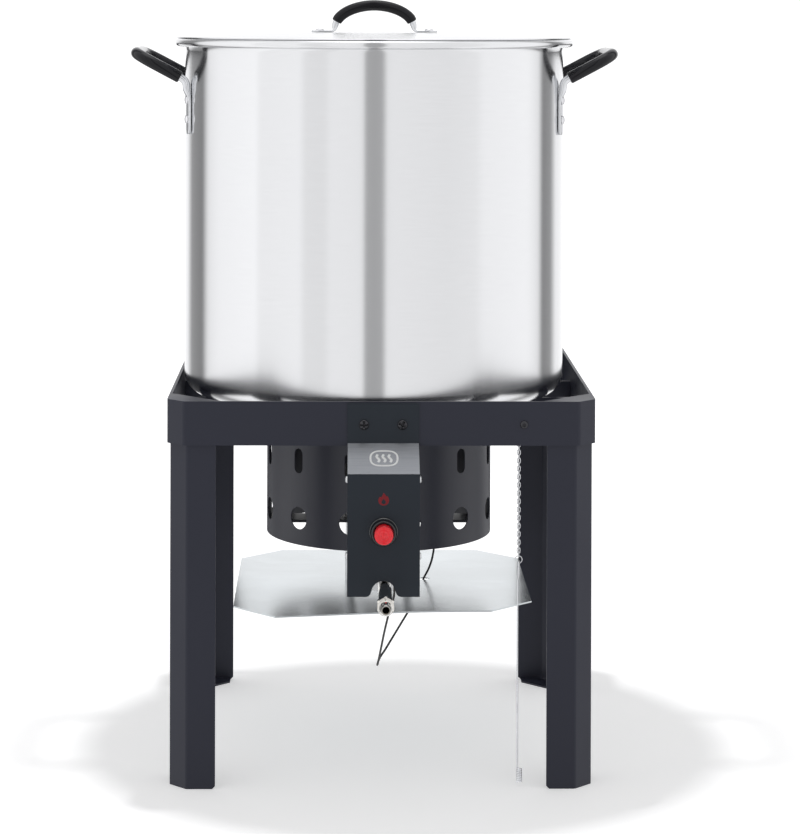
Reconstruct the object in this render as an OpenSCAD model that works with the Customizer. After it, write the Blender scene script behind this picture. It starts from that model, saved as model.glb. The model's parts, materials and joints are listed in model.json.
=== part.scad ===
// Turkey fryer kit: a lidded aluminium stock pot on a square steel stand with a
// cast-iron burner, wind guard, heat shield, igniter box and match holder.
// Millimetres, +Z up. The origin is on the floor under the burner, and -Y is the front.

/* [Stand] */
// Outside width and depth of the top band
stand_w = 430; // [424:1:440]
// Height of the band's top edge above the floor
stand_h = 388; // [386:1:400]
// Height of the top band
band_h = 44; // [40:1:48]
// Thickness of the top band
band_t = 3; // [2.5:0.1:3]
// How far each corner of the stand is cut back along both sides
corner_cut = 17.5; // [15:0.5:20]
// Width of each leg, measured from the uncut corner
leg_w = 46.5; // [40:0.5:50]
// Sheet thickness of the legs
leg_t = 1.8; // [1.5:0.1:2.5]
// Length of each corner gusset along the band
gusset_w = 57; // [50:1:62]
// Height of the flat bars that carry the pot
bar_h = 20; // [18:1:22]

/* [Burner] */
// Outside diameter of the wind guard
guard_d = 241; // [236:1:244]
// Height of the wind guard's lower edge above the floor
guard_z = 218; // [216:1:220]
// Diameter of the wind guard's round holes
vent_d = 23.5; // [20:0.5:24]
// Length of the wind guard's upright slots
slot_l = 26; // [22:1:28]
// Number of holes, and of slots, around the wind guard
vents = 12; // [12]
// Outside diameter of the cast-iron burner head
burner_d = 116; // [110:1:117]
// Number of gas ports around the burner head
ports = 24; // [16:2:28]

/* [Heat shield] */
// Width of the heat shield
shield_w = 310; // [300:1:316]
// Depth of the heat shield
shield_d = 302; // [296:1:310]
// Length of the cut along both sides of the heat shield's corners
shield_cut = 44.5; // [40:0.5:48]
// Height of the heat shield above the floor
shield_z = 163; // [160:1:165]
// How far the heat shield hangs to the right of the burner's axis
shield_x = 3; // [0:1:4]

/* [Pot] */
// Outside diameter of the pot's wall
pot_d = 407; // [404:1:408]
// Height of the pot from its base to its rim
pot_h = 379; // [376:1:390]
// Thickness of the pot's wall
pot_wall = 2; // [1.5:0.1:2.5]
// Outside radius between the pot's wall and base
pot_corner = 21; // [18:1:26]
// How far the pot stands to the right of the burner's axis
pot_x = -6; // [-6:0.5:3]
// Reach of the pot's handles from its axis to the outer bar's centre
handle_reach = 253; // [251:1:259]
// Distance between the centres of a handle's two legs
handle_w = 120; // [112:1:124]
// Upward tilt of the handles in degrees
handle_tilt = 28; // [22:1:32]

/* [Lid] */
// Outside diameter of the lid
lid_d = 426; // [425:0.5:428]
// Rise of the lid's middle above its edge
lid_rise = 5; // [4:0.5:7]
// Radius of the lid handle's arch
lid_arch_r = 55; // [54:0.5:57]

/* [Control box] */
// Width of the control box
box_w = 71.5; // [70:0.5:73]
// How far the control box stands out from the band
box_out = 40; // [38:1:42]
// Height of the control box's lower edge above the floor
box_z = 202; // [200:1:203]
// Height of the igniter's axis above the floor
igniter_z = 266; // [262:1:270]
// Travel of the igniter button
button_travel = 4; // [3:0.5:4.5]

/* [Gas line] */
// Height of the gas line's axis above the floor
gas_z = 209.5; // [209:0.1:209.8]
// Distance of the gas line to the right of the centre
gas_x = 2.6; // [1.5:0.1:3]
// Distance of the gas inlet's tip in front of the burner's axis
inlet_y = 345; // [338:1:350]
// Outside diameter of the inlet fitting's thread (5/8 inch)
inlet_thread_d = 15.88; // [15.88]

/* [Match holder] */
// Distance of the match holder's screw to the right of the centre
holder_x = 137.6; // [130:0.1:140]
// Distance from the chain to its screw
screw_offset = 4.5; // [3:0.1:5]
// Length of the match holder's rod below its twist
rod_len = 197; // [185:1:198]
// Number of chain links, always odd
links = 29; // [29]

/* [Hidden] */
$fn = 64;
e = 0.1;

band_r = stand_w / 2;
leg_r = band_r - band_t;
bend_in = 2.5;
gusset_t = 1.5;
foot_relief = 8;
foot_corner = 60.5;
screw_z = stand_h - 23;

bar_t = 4;
bar_gap = 60;
pot_z = stand_h - 19;
bar_z = pot_z - bar_h;

guard_t = 1.2;
guard_r = guard_d / 2;
vent_z = guard_z + 28;
slot_z = guard_z + 88;
slot_w = 12;

bracket_z = guard_z + 10;
bracket_t = 3;
bracket_w = 36;
bracket_top = bracket_z + bracket_t;
bracket_end = sqrt(pow(guard_r - guard_t - 0.3, 2) - pow(bracket_w / 2, 2));
stud_x = 31;
shield_t = 1.5;
wire_hole = [49, 4];

bead_r = 4.6;
pot_r = pot_d / 2;
rim_z = pot_z + pot_h;
bead_c = [pot_r + 7, rim_z - bead_r];
handle_z = rim_z - 45;
rod_r = 4;
grip_r = 6.4;
strap_angle = asin(handle_w / 2 / (pot_r + 3.5));
rivet_z = [handle_z - 20, handle_z - 40.5];

lid_z = rim_z;
lid_t = 1.2;
lid_top = lid_z + lid_t + lid_rise;
lid_rivet_x = 59;

face_y = -band_r - box_out;
flange_t = 1.2;
flange_y = -band_r - flange_t;
box_x = 1.5;
slope_top = stand_h - 41;
slope_low = 322;
side_screw_z = [314, 238];
side_screw_y = face_y + 20;
flange_screw_x = 19.2;

button_r = 9.2;
igniter_y = face_y;

chain_y = -205;
holder_screw_x = holder_x + screw_offset;
link_pitch = 4.1;
link_in = link_pitch + e;
link_wire = 0.55;
link_side = 1.4;
eye_r = 4;
eye_wire = 0.7;
eye_drop = 10.4;
shank_r = 2;
eye_z = screw_z + shank_r - eye_r + eye_wire + e;
link_top = eye_z - eye_drop - eye_r + eye_wire - link_in / 2;
link_low = link_top - (links - 1) * link_pitch;
ring_r = 3.6;
ring_wire = 0.6;
ring_z = link_low - link_in / 2 + e - ring_r + ring_wire;
hook_r = 2.3;
hook_wire = 0.9;
hook_z = ring_z - ring_r + ring_wire + e - hook_r + hook_wire;
rod_shift = -0.8;
rod_top = hook_z - 11;
coil_r = 2.2;
coil_turns = 8;
coil_pitch = 1.7;

// The igniter wire's route, from the electrode through the heat shield to the igniter
wire_r = 1.1;
wire_route = [
    [64, 0, 217], [62.5, 0, 210], [60.5, 1, 201], [59.5, 1, 193], [57.5, 2, 183],
    [54, 3, 173], [49, 4, 163], [47.5, 2, 156.5], [45, -4, 151], [41, -13, 146],
    [36, -25, 141], [31, -37, 136], [26, -49, 131], [21, -61, 126], [16, -73, 121],
    [11, -85, 116], [6, -97, 111], [1, -108, 106.5], [-1.5, -116, 103.5],
    [-2.5, -124, 102.5], [-2.5, -132, 104], [-2, -139, 108], [-1, -149, 116],
    [0.5, -163, 128], [2, -177, 140], [3.5, -191, 152], [5.5, -205, 165],
    [7.5, -218, 177], [9.8, -230, 188], [12, -239, 198], [12.5, -245, 208],
    [12.3, -247.5, 217], [11.5, -247.5, 226], [10, -245.5, 234], [8, -243, 239.5],
    [7, -240.5, 243.5], [7, -240, 246.5]
];

// ---- Points and paths ----

function unit(v) = v / norm(v);
function left_of(v) = [-v.y, v.x];
function turn(p, q, s) = cross(q - p, s - q);

// Points of a round of radius r at q, between p and s
function fillet(p, q, s, r, n = 5) =
    let (a = unit(p - q), b = unit(s - q), half = acos(a * b) / 2)
    let (c = q + unit(a + b) * r / sin(half))
    let (from = q + a * r / tan(half) - c, to = q + b * r / tan(half) - c)
    let (a0 = atan2(from.y, from.x), a1 = atan2(to.y, to.x))
    let (sweep = (a1 - a0 + 540) % 360 - 180)
    [for (i = [0:n]) c + r * [cos(a0 + sweep * i / n), sin(a0 + sweep * i / n)]];

// A closed outline with every corner rounded
function rounded(pts, r) =
    let (n = len(pts))
    [for (i = [0:n - 1]) each fillet(pts[(i + n - 1) % n], pts[i], pts[(i + 1) % n], r)];

// The point of a path offset by t to its left
function offset_point(path, t, i) =
    let (last = len(path) - 1)
    let (a = unit(path[max(i, 1)] - path[max(i, 1) - 1]))
    let (b = unit(path[min(i, last - 1) + 1] - path[min(i, last - 1)]))
    let (m = unit(left_of(a) + left_of(b)))
    path[i] + m * t / (m * left_of(a));

// An open path with its bends rounded
function soft_path(path, r_left, r_right) =
    let (last = len(path) - 1)
    [
        path[0],
        for (i = [1:last - 1])
            let (left = turn(path[i - 1], path[i], path[i + 1]) > 0)
            each fillet(path[i - 1], path[i], path[i + 1], left ? r_left : r_right),
        path[last]
    ];

// The outline of a bent sheet of thickness t that lies to the left of its path
function sheet_outline(path, t, r) =
    let (other = [for (i = [0:len(path) - 1]) offset_point(path, t, i)])
    let (back = soft_path(other, r, r + t))
    concat(soft_path(path, r + t, r), [for (i = [len(back) - 1:-1:0]) back[i]]);

// A square of half width h with its corners cut back by c
function octagon(h, c, k = 0) =
    let (d = h + k)
    [[d, -h + c], [d, h - c], [d - c, h], [-d + c, h],
     [-d, h - c], [-d, -h + c], [-d + c, -h], [d - c, -h]];

// A smooth curve through the points of a route
function curve_point(p, i, t) =
    let (n = len(p) - 1)
    let (a = p[max(i - 1, 0)], b = p[i], c = p[min(i + 1, n)], d = p[min(i + 2, n)])
    (2 * b + (c - a) * t + (2 * a - 5 * b + 4 * c - d) * t * t
        + (3 * b - a - 3 * c + d) * t * t * t) / 2;

function smooth_route(p, steps) =
    [for (i = [0:len(p) - 2], s = [0:steps - 1]) curve_point(p, i, s / steps), p[len(p) - 1]];

// A tube swept along points; up is a direction that the path never follows
module tube(points, r, sides, up) {
    last = len(points) - 1;
    rings = [
        for (i = [0:last])
            let (t = unit(points[min(i + 1, last)] - points[max(i - 1, 0)]))
            let (u = unit(cross(t, up)), v = cross(t, u))
            for (k = [0:sides - 1])
                points[i] + r * (cos(360 * k / sides) * u + sin(360 * k / sides) * v)
    ];
    walls = [
        for (i = [0:last - 1], k = [0:sides - 1])
            let (a = i * sides + k, b = i * sides + (k + 1) % sides)
            each [[a, b, b + sides], [a, b + sides, a + sides]]
    ];
    ends = [
        [for (k = [sides - 1:-1:0]) k],
        [for (k = [0:sides - 1]) last * sides + k]
    ];
    polyhedron(points = rings, faces = concat(walls, ends), convexity = 6);
}

// ---- Placing ----

module along_x(h) { rotate([90, 0, 90]) linear_extrude(h, center = true) children(); }
module along_y(y0, y1) { translate([0, y1, 0]) rotate([90, 0, 0]) linear_extrude(y1 - y0) children(); }
module rod_x(r, x0, x1) { translate([x0, 0, 0]) rotate([0, 90, 0]) cylinder(r = r, h = x1 - x0); }
module rod_y(r, y0, y1) { translate([0, y0, 0]) rotate([-90, 0, 0]) cylinder(r = r, h = y1 - y0); }
module cone_y(r0, r1, y0, y1) { translate([0, y0, 0]) rotate([-90, 0, 0]) cylinder(r1 = r0, r2 = r1, h = y1 - y0); }
module hex_y(flats, y0, y1) {
    translate([0, y0, 0]) rotate([-90, 0, 0]) cylinder(r = flats / sqrt(3), h = y1 - y0, $fn = 6);
}
module corner(sx, sy) {
    mirror([sx < 0 ? 1 : 0, 0, 0]) mirror([0, sy < 0 ? 1 : 0, 0]) children();
}
module both_sides() {
    children();
    mirror([1, 0, 0]) children();
}
module at_pot() { translate([pot_x, 0, 0]) children(); }
module at_gas() { translate([gas_x, 0, gas_z]) children(); }
module at_igniter() { translate([box_x, 0, igniter_z]) children(); }
module ring_xz(r, wire) { rotate([90, 0, 0]) rotate_extrude() translate([r, 0]) circle(wire); }

// ---- Fasteners ----

module dome(r, edge, rise) {
    ball = (r * r + rise * rise) / (2 * rise);
    intersection() {
        translate([0, 0, edge + rise - ball]) sphere(ball, $fn = 96);
        cylinder(r = r, h = edge + rise + e);
    }
}

// A pan-head screw with its head up, seated at z = 0
module pan_screw(head_r, shank_r, shank_l) {
    head_h = head_r * 0.6;
    difference() {
        union() {
            dome(head_r, head_h * 0.4, head_h * 0.6);
            translate([0, 0, -shank_l]) cylinder(r = shank_r, h = shank_l + e);
        }
        for (a = [0, 90])
            rotate([0, 0, a])
                translate([-head_r * 0.5, -head_r * 0.1, head_h * 0.45])
                    cube([head_r, head_r * 0.2, head_h]);
    }
}

// ---- Stand ----

module band_outline(inset) {
    polygon(rounded(octagon(band_r - inset, corner_cut - inset * (2 - sqrt(2))), bend_in + band_t - inset));
}

module top_band() {
    color("#2c3038")
        difference() {
            translate([0, 0, stand_h - band_h]) linear_extrude(band_h)
                difference() {
                    band_outline(0);
                    band_outline(band_t);
                }
            for (x = [box_x - flange_screw_x, box_x + flange_screw_x])
                translate([x, 0, screw_z]) rod_y(2.7, -band_r - 1, -leg_r + 1);
            translate([holder_screw_x, 0, screw_z]) rod_y(shank_r + e, -band_r - 1, -leg_r + 1);
        }
}

// A bent-sheet leg in the corner at +X +Y
module leg_angle() {
    path = [
        [leg_r, leg_r - leg_w], [leg_r, leg_r - corner_cut],
        [leg_r - corner_cut, leg_r], [leg_r - leg_w, leg_r]
    ];
    inner = leg_r - leg_t;
    edge = leg_r - leg_w;
    nick = 3;
    outer_sum = 2 * leg_r - corner_cut - foot_relief;
    inner_sum = 2 * leg_r - foot_corner;
    difference() {
        linear_extrude(stand_h - gusset_t) polygon(sheet_outline(path, leg_t, bend_in));
        along_y(inner - 1, leg_r + 1)
            polygon([[edge - 1, -1], [edge + nick + 1, -1], [edge - 1, nick + 1]]);
        along_x(4 * leg_r)
            polygon([[edge - 1, -1], [edge + nick + 1, -1], [edge - 1, nick + 1]]);
    }
    linear_extrude(leg_t)
        polygon([
            [edge + nick, inner + e], [outer_sum - inner, inner + e], [inner + e, outer_sum - inner],
            [inner + e, edge + nick], [inner_sum - edge - nick, edge + nick], [edge + nick, inner_sum - edge - nick]
        ]);
}

module leg(sx, sy) { color("#31353d") corner(sx, sy) leg_angle(); }

module corner_gussets() {
    inner = leg_r;
    cut_sum = 2 * inner - corner_cut + band_t * (2 - sqrt(2));
    far = 2 * band_r - gusset_w;
    color("#3a3e46")
        for (sx = [-1, 1], sy = [-1, 1])
            corner(sx, sy)
                translate([0, 0, stand_h - gusset_t])
                    linear_extrude(gusset_t)
                        polygon([
                            [far - inner, inner], [cut_sum - inner, inner],
                            [inner, cut_sum - inner], [inner, far - inner]
                        ]);
}

// Flat bars on edge, halved together where they cross
module cross_bars() {
    color("#2c3038")
        for (y = [-bar_gap, bar_gap])
            difference() {
                translate([-leg_r, y - bar_t / 2, bar_z]) cube([2 * leg_r, bar_t, bar_h]);
                for (x = [-bar_gap, bar_gap])
                    translate([x - bar_t / 2 - e, y - bar_t, bar_z + bar_h / 2])
                        cube([bar_t + 2 * e, 2 * bar_t, bar_h]);
            }
}

module long_bars() {
    color("#2c3038")
        for (x = [-bar_gap, bar_gap])
            difference() {
                translate([x - bar_t / 2, -leg_r, bar_z]) cube([bar_t, 2 * leg_r, bar_h]);
                for (y = [-bar_gap, bar_gap])
                    translate([x - bar_t, y - bar_t / 2 - e, bar_z - bar_h / 2])
                        cube([2 * bar_t, bar_t + 2 * e, bar_h]);
            }
}

// ---- Burner ----

module wind_guard() {
    color("#26282c")
        difference() {
            translate([0, 0, guard_z])
                difference() {
                    cylinder(r = guard_r, h = bar_z - guard_z);
                    translate([0, 0, -1]) cylinder(r = guard_r - guard_t, h = bar_z - guard_z + 2);
                }
            for (i = [0:vents - 1])
                rotate([0, 0, (i + 0.5) * 360 / vents]) {
                    translate([0, 0, vent_z]) rod_x(vent_d / 2, guard_r - 8, guard_r + 4);
                    for (s = [-1, 1])
                        translate([0, 0, slot_z + s * (slot_l - slot_w) / 2])
                            rod_x(slot_w / 2, guard_r - 8, guard_r + 4);
                    translate([guard_r - 8, -slot_w / 2, slot_z - (slot_l - slot_w) / 2])
                        cube([12, slot_w, slot_l - slot_w]);
                }
            translate([-17, -guard_r - 2, guard_z - 1]) cube([34, 12, 9]);
        }
}

// A flat bar across the guard with its ends turned up
module burner_bracket() {
    color("#43464c")
        difference() {
            union() {
                translate([-bracket_end, -bracket_w / 2, bracket_z])
                    cube([2 * bracket_end, bracket_w, bracket_t]);
                both_sides()
                    translate([bracket_end - 2, -bracket_w / 2, bracket_z])
                        cube([2, bracket_w, 28]);
            }
            translate([0, 0, bracket_z - 1]) cylinder(r = 12.2, h = bracket_t + 2);
            both_sides() translate([stud_x, 0, bracket_z - 1]) cylinder(r = 3.1, h = bracket_t + 2);
            translate([64, 0, bracket_z - 1]) cylinder(r = 3.6, h = bracket_t + 2);
        }
}

module burner_head() {
    r = burner_d / 2;
    z = bracket_top;
    color("#34332f")
        difference() {
            rotate_extrude()
                polygon([
                    [12.1, z], [22, z], [22, z + 9], [r - 7, z + 26], [r - 1, z + 30], [r, z + 45],
                    [r - 4, z + 50], [20, z + 50], [16, z + 46], [0, z + 46], [0, z + 42],
                    [r - 9, z + 42], [r - 5.5, z + 39], [r - 5.5, z + 32.5], [r - 11, z + 29.5], [12.1, z + 13]
                ]);
            for (i = [0:ports - 1]) {
                rotate([0, 0, i * 360 / ports])
                    translate([0, 0, z + 36]) rod_x(2, r - 9, r + 2);
                rotate([0, 0, (i + 0.5) * 360 / ports])
                    translate([r - 16, 0, z + 38]) cylinder(r = 1.6, h = 14);
            }
        }
}

mouth_y = -166;
window_r = 14;

// The cast-iron elbow that mixes air into the gas and carries the burner head
module burner_venturi() {
    color("#34332f")
        at_gas()
            difference() {
                union() {
                    rod_y(15, -150, 0);
                    cone_y(23, 15, mouth_y + 6, -146);
                    rod_y(23, mouth_y, mouth_y + 6);
                    sphere(15);
                    translate([-gas_x, 0, 0]) {
                        cylinder(r = 15, h = bracket_z - gas_z);
                        translate([0, 0, bracket_z - gas_z - 4]) cylinder(r = 22, h = 4);
                        cylinder(r = 12, h = bracket_top - gas_z + 12);
                    }
                }
                rod_y(11, -160, 0);
                cone_y(20, 11, mouth_y + 4, -148);
                sphere(11);
                translate([-gas_x, 0, 0]) cylinder(r = 9, h = 60);
                rod_y(8, mouth_y - 1, mouth_y + 5);
                for (a = [0, 120, 240])
                    rotate([0, a, 0]) translate([0, 0, window_r]) rod_y(4.6, mouth_y - 1, mouth_y + 5);
            }
}

// A disc that turns on the orifice to close the venturi's air windows
module air_shutter() {
    y1 = mouth_y - 0.2;
    color("#8e9196")
        at_gas()
            difference() {
                union() {
                    rod_y(22.5, y1 - 1.5, y1);
                    rotate([0, 60, 0]) translate([-4, y1 - 1.5, 18]) cube([8, 1.5, 14]);
                }
                rod_y(8.1, y1 - 3, y1 + 1);
                for (a = [0, 120, 240])
                    rotate([0, a, 0]) translate([0, 0, window_r]) rod_y(4.6, y1 - 3, y1 + 1);
            }
}

module gas_orifice() {
    color("#b08d3e")
        at_gas()
            difference() {
                union() {
                    hex_y(19, mouth_y - 9, mouth_y - 2);
                    rod_y(8, mouth_y - 2.1, mouth_y + 4);
                    cone_y(6, 3, mouth_y + 3.9, mouth_y + 12);
                }
                rod_y(3, mouth_y - 10, mouth_y + 8);
                rod_y(0.8, mouth_y + 7, mouth_y + 13);
            }
}

module gas_pipe() {
    color("#b9bcc0")
        at_gas()
            difference() {
                rod_y(7, -inlet_y + 26, mouth_y - 9);
                rod_y(4, -inlet_y + 25, mouth_y - 8);
            }
}

// A male flare fitting: cone seat, thread and hexagon
module gas_inlet() {
    color("#cfd2d6")
        at_gas()
            difference() {
                union() {
                    cone_y(4.6, 6.8, -inlet_y, -inlet_y + 5);
                    rod_y(6.8, -inlet_y + 4.9, -inlet_y + 8);
                    rod_y(inlet_thread_d / 2, -inlet_y + 7, -inlet_y + 19);
                    hex_y(16, -inlet_y + 19, -inlet_y + 26);
                }
                rod_y(3.3, -inlet_y - 1, -inlet_y + 27);
            }
}

shelf_z = gas_z + 7.1;

module pipe_saddle() {
    y0 = -band_r - 9;
    color("#a9adb2")
        difference() {
            union() {
                at_gas() rod_y(8.2, y0, y0 + 8);
                translate([gas_x - 18, y0, shelf_z - 1.2]) cube([36, 8, 1.2]);
            }
            at_gas() rod_y(7.05, y0 - 1, y0 + 9);
            translate([gas_x - 20, y0 - 1, shelf_z]) cube([40, 10, 12]);
            for (x = [-13.5, 13.5])
                translate([gas_x + x, y0 + 4, shelf_z - 3]) cylinder(r = 1.6, h = 4);
        }
}

module saddle_screws() {
    color("#a9adb2")
        for (x = [-13.5, 13.5])
            translate([gas_x + x, -band_r - 5, shelf_z - 1.2]) rotate([180, 0, 0]) pan_screw(3, 1.5, 5);
}

module electrode_ceramic() {
    color("#e8e2d4")
        difference() {
            union() {
                translate([64, 0, bracket_z - 6]) cylinder(r = 3.5, h = 46);
                translate([64, 0, bracket_top]) cylinder(r = 5.5, h = 4);
            }
            translate([64, 0, bracket_z - 7]) cylinder(r = 1.05, h = 48);
        }
}

module electrode_pin() {
    top = bracket_z + 50;
    color("#9a9da2") {
        translate([64, 0, bracket_z - 11]) cylinder(r = 1, h = top - bracket_z + 11);
        translate([64, 0, top]) sphere(1);
        translate([0, 0, top]) rod_x(1, burner_d / 2 + 3, 64);
    }
}

// ---- Heat shield ----

module heat_shield() {
    k = (shield_w - shield_d) / 2;
    color("#c9ccd0")
        difference() {
            translate([shield_x, 0, shield_z - shield_t])
                linear_extrude(shield_t)
                    polygon(octagon(shield_d / 2, shield_cut, k));
            translate([wire_hole.x, wire_hole.y, shield_z - 5]) cylinder(r = 6.5, h = 10);
            both_sides() translate([stud_x, 0, shield_z - 5]) cylinder(r = 3.1, h = 10);
        }
}

module shield_bolts() {
    color("#9ea1a6")
        both_sides()
            translate([stud_x, 0, 0]) {
                translate([0, 0, bracket_top]) cylinder(r = 10 / sqrt(3), h = 4, $fn = 6);
                translate([0, 0, shield_z - 10]) cylinder(r = 3, h = bracket_top - shield_z + 10 + e);
            }
}

module shield_spacers() {
    color("#b4b7bb")
        both_sides()
            translate([stud_x, 0, shield_z])
                difference() {
                    cylinder(r = 4.6, h = bracket_z - shield_z);
                    translate([0, 0, -1]) cylinder(r = 3.05, h = bracket_z - shield_z + 2);
                }
}

module shield_nuts() {
    color("#9ea1a6")
        both_sides()
            translate([stud_x, 0, shield_z - shield_t - 5])
                difference() {
                    cylinder(r = 10 / sqrt(3), h = 5, $fn = 6);
                    translate([0, 0, -1]) cylinder(r = 3.02, h = 7);
                }
}

// ---- Control box ----

notch_r = 12;
notch_flare = 5.7;
notch_top = box_z + 15.7;

module notch() {
    circle_z = notch_top - notch_r;
    flare_z = box_z + notch_flare;
    translate([0, circle_z]) circle(notch_r);
    translate([-notch_r, box_z - 1]) square([2 * notch_r, flare_z - box_z + 1]);
    difference() {
        translate([-notch_r - notch_flare, box_z - 1])
            square([2 * (notch_r + notch_flare), notch_flare + 1]);
        for (s = [-1, 1])
            translate([s * (notch_r + notch_flare), flare_z]) circle(notch_flare);
    }
}

// Mounting flange, sloping top, front and sides of one folded sheet
module box_cover() {
    half = box_w / 2;
    path = [[flange_y, stand_h - 1.5], [flange_y, slope_top], [face_y, slope_low], [face_y, box_z]];
    color("#2e3138")
        translate([box_x, 0, 0])
            difference() {
                union() {
                    along_x(box_w) polygon(sheet_outline(path, flange_t, 1.2));
                    both_sides()
                        translate([half - flange_t / 2, 0, 0])
                            along_x(flange_t)
                                polygon([
                                    [flange_y - 1, slope_top - 2], [face_y + 1, slope_low - 1],
                                    [face_y + 1, box_z], [flange_y - 0.2, box_z], [flange_y - 0.2, slope_top - 2]
                                ]);
                }
                along_y(face_y - 2, face_y + 4) notch();
                translate([0, 0, igniter_z]) rod_y(10.1, face_y - 2, face_y + 4);
                for (x = [-flange_screw_x, flange_screw_x])
                    translate([x, 0, screw_z]) rod_y(2.7, flange_y - 2, -band_r + 1);
                for (z = side_screw_z)
                    translate([0, side_screw_y, z]) rod_x(2.1, -half - 1, half + 1);
            }
}

wing_x = box_w / 2 - flange_t - 0.1;

// A folded inner sheet that closes the box's back, stiffens its sides and holds the gas pipe
module box_bracket() {
    web_y = flange_y - 0.1;
    color("#a9adb2")
        translate([box_x, 0, 0])
            difference() {
                union() {
                    translate([-wing_x, web_y, shelf_z]) cube([2 * wing_x, flange_t, slope_top - 4 - shelf_z]);
                    both_sides()
                        translate([wing_x - flange_t / 2, 0, 0])
                            along_x(flange_t)
                                polygon([
                                    [web_y + e, shelf_z + 12], [web_y + e, slope_top - 10],
                                    [face_y + 10, slope_low - 4], [face_y + 10, shelf_z + 12]
                                ]);
                    translate([-20, face_y + 10, shelf_z]) cube([40, web_y - face_y - 10 + e, flange_t]);
                }
                translate([0, 0, igniter_z]) rod_y(12, web_y - 1, web_y + 3);
                for (z = side_screw_z)
                    translate([0, side_screw_y, z]) rod_x(2.1, -wing_x - 1, wing_x + 1);
                for (x = [-13.5, 13.5])
                    translate([gas_x + x - box_x, -band_r - 5, shelf_z - 1]) cylinder(r = 1.6, h = 4);
            }
}

module flange_screws() {
    color("#3b3d42")
        for (x = [-flange_screw_x, flange_screw_x])
            translate([box_x + x, flange_y, screw_z]) rotate([90, 0, 0]) pan_screw(5, 2.5, 13);
}

module flange_nuts() {
    color("#8c8f94")
        for (x = [-flange_screw_x, flange_screw_x])
            translate([box_x + x, 0, screw_z])
                difference() {
                    hex_y(8, -leg_r, -leg_r + 4);
                    rod_y(2.55, -leg_r - 1, -leg_r + 5);
                }
}

module side_screws() {
    color("#b4b7bb")
        for (z = side_screw_z, s = [-1, 1])
            translate([box_x + s * box_w / 2, side_screw_y, z])
                rotate([0, s * 90, 0]) pan_screw(3.6, 1.9, 6);
}

// ---- Igniter ----

module igniter_bezel() {
    color("#141417")
        at_igniter()
            difference() {
                union() {
                    rod_y(14.3, igniter_y - 2, igniter_y);
                    cone_y(12, 14.3, igniter_y - 9, igniter_y - 2);
                }
                rod_y(button_r + 0.3, igniter_y - 10, igniter_y + 1);
            }
}

module igniter_body() {
    color("#1b1b1f")
        at_igniter()
            difference() {
                rod_y(9.9, igniter_y, igniter_y + 55);
                rod_y(7, igniter_y - 1, igniter_y + 15);
                rod_y(3.7, igniter_y + 14, igniter_y + 30);
            }
}

module igniter_nut() {
    color("#1b1b1f")
        at_igniter()
            difference() {
                hex_y(25, igniter_y + flange_t + e, igniter_y + 6);
                rod_y(9.95, igniter_y, igniter_y + 7);
            }
}

// Drawn at its pressed length, between the button and the body's bore
module igniter_spring() {
    turns = 5;
    wire = 0.6;
    mean_r = 5.2;
    start_y = igniter_y + 15 - wire;
    end_y = igniter_y - 7 + button_travel + wire + 0.2;
    coil = [
        for (i = [0:14 * turns])
            let (a = i * 360 / 14)
            [mean_r * cos(a), start_y + (end_y - start_y) * i / (14 * turns), mean_r * sin(a)]
    ];
    color("#b9bcc0") at_igniter() tube(coil, wire, 6, [0, 1, 0]);
}

// The metal post that the wire's end pushes onto
module igniter_terminal() {
    color("#b08d3e")
        difference() {
            translate([7, -240, igniter_z - 19]) cylinder(r = 1.5, h = 11);
            at_igniter() rod_y(9.92, igniter_y, igniter_y + 55);
        }
}

module igniter_button() {
    head_l = 13;
    color("#c8262c")
        at_igniter() {
            rod_y(button_r, igniter_y - 6 - head_l, igniter_y - 7);
            translate([0, igniter_y - 6 - head_l, 0]) rotate([90, 0, 0]) dome(button_r, 0, 1.2);
            rod_y(3.5, igniter_y - 7.1, igniter_y + 23);
        }
}

module igniter_wire() {
    color("#151517") tube(smooth_route(wire_route, 2), wire_r, 8, [1, 0, 0]);
}

// ---- Match holder ----

module holder_screw() {
    color("#3b3d42")
        translate([holder_screw_x, -band_r, screw_z]) rotate([90, 0, 0]) pan_screw(4, shank_r, 16);
}

module holder_nut() {
    color("#8c8f94")
        translate([holder_screw_x, 0, screw_z])
            difference() {
                hex_y(7, chain_y + 3, chain_y + 6);
                rod_y(shank_r + 0.05, chain_y + 2, chain_y + 7);
            }
}

// A wire ring with round ends in the XZ plane
module long_ring(side, wire, straight) {
    for (s = [-1, 1]) {
        translate([s * side, 0, -straight]) cylinder(r = wire, h = 2 * straight, $fn = 24);
        rotate([0, s * 90 - 90, 0])
            translate([0, 0, straight])
                rotate([90, 0, 0])
                    rotate_extrude(angle = 180, $fn = 24) translate([side, 0]) circle(wire);
    }
}

// A long wire ring that leans from the screw to the chain
module chain_eye() {
    color("#c4c6ca")
        translate([holder_x + screw_offset / 2, chain_y, eye_z - eye_drop / 2])
            rotate([0, atan2(screw_offset, eye_drop), 0])
                long_ring(eye_r, eye_wire, norm([screw_offset, eye_drop]) / 2);
}

module chain() {
    color("#c4c6ca")
        for (i = [0:links - 1])
            translate([holder_x, chain_y, link_top - i * link_pitch])
                rotate([0, 0, i % 2 == 0 ? 90 : 0])
                    long_ring(link_side, link_wire, link_in / 2 + link_wire - link_side);
}

module split_ring() {
    color("#c4c6ca") translate([holder_x, chain_y, ring_z]) ring_xz(ring_r, ring_wire);
}

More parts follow.
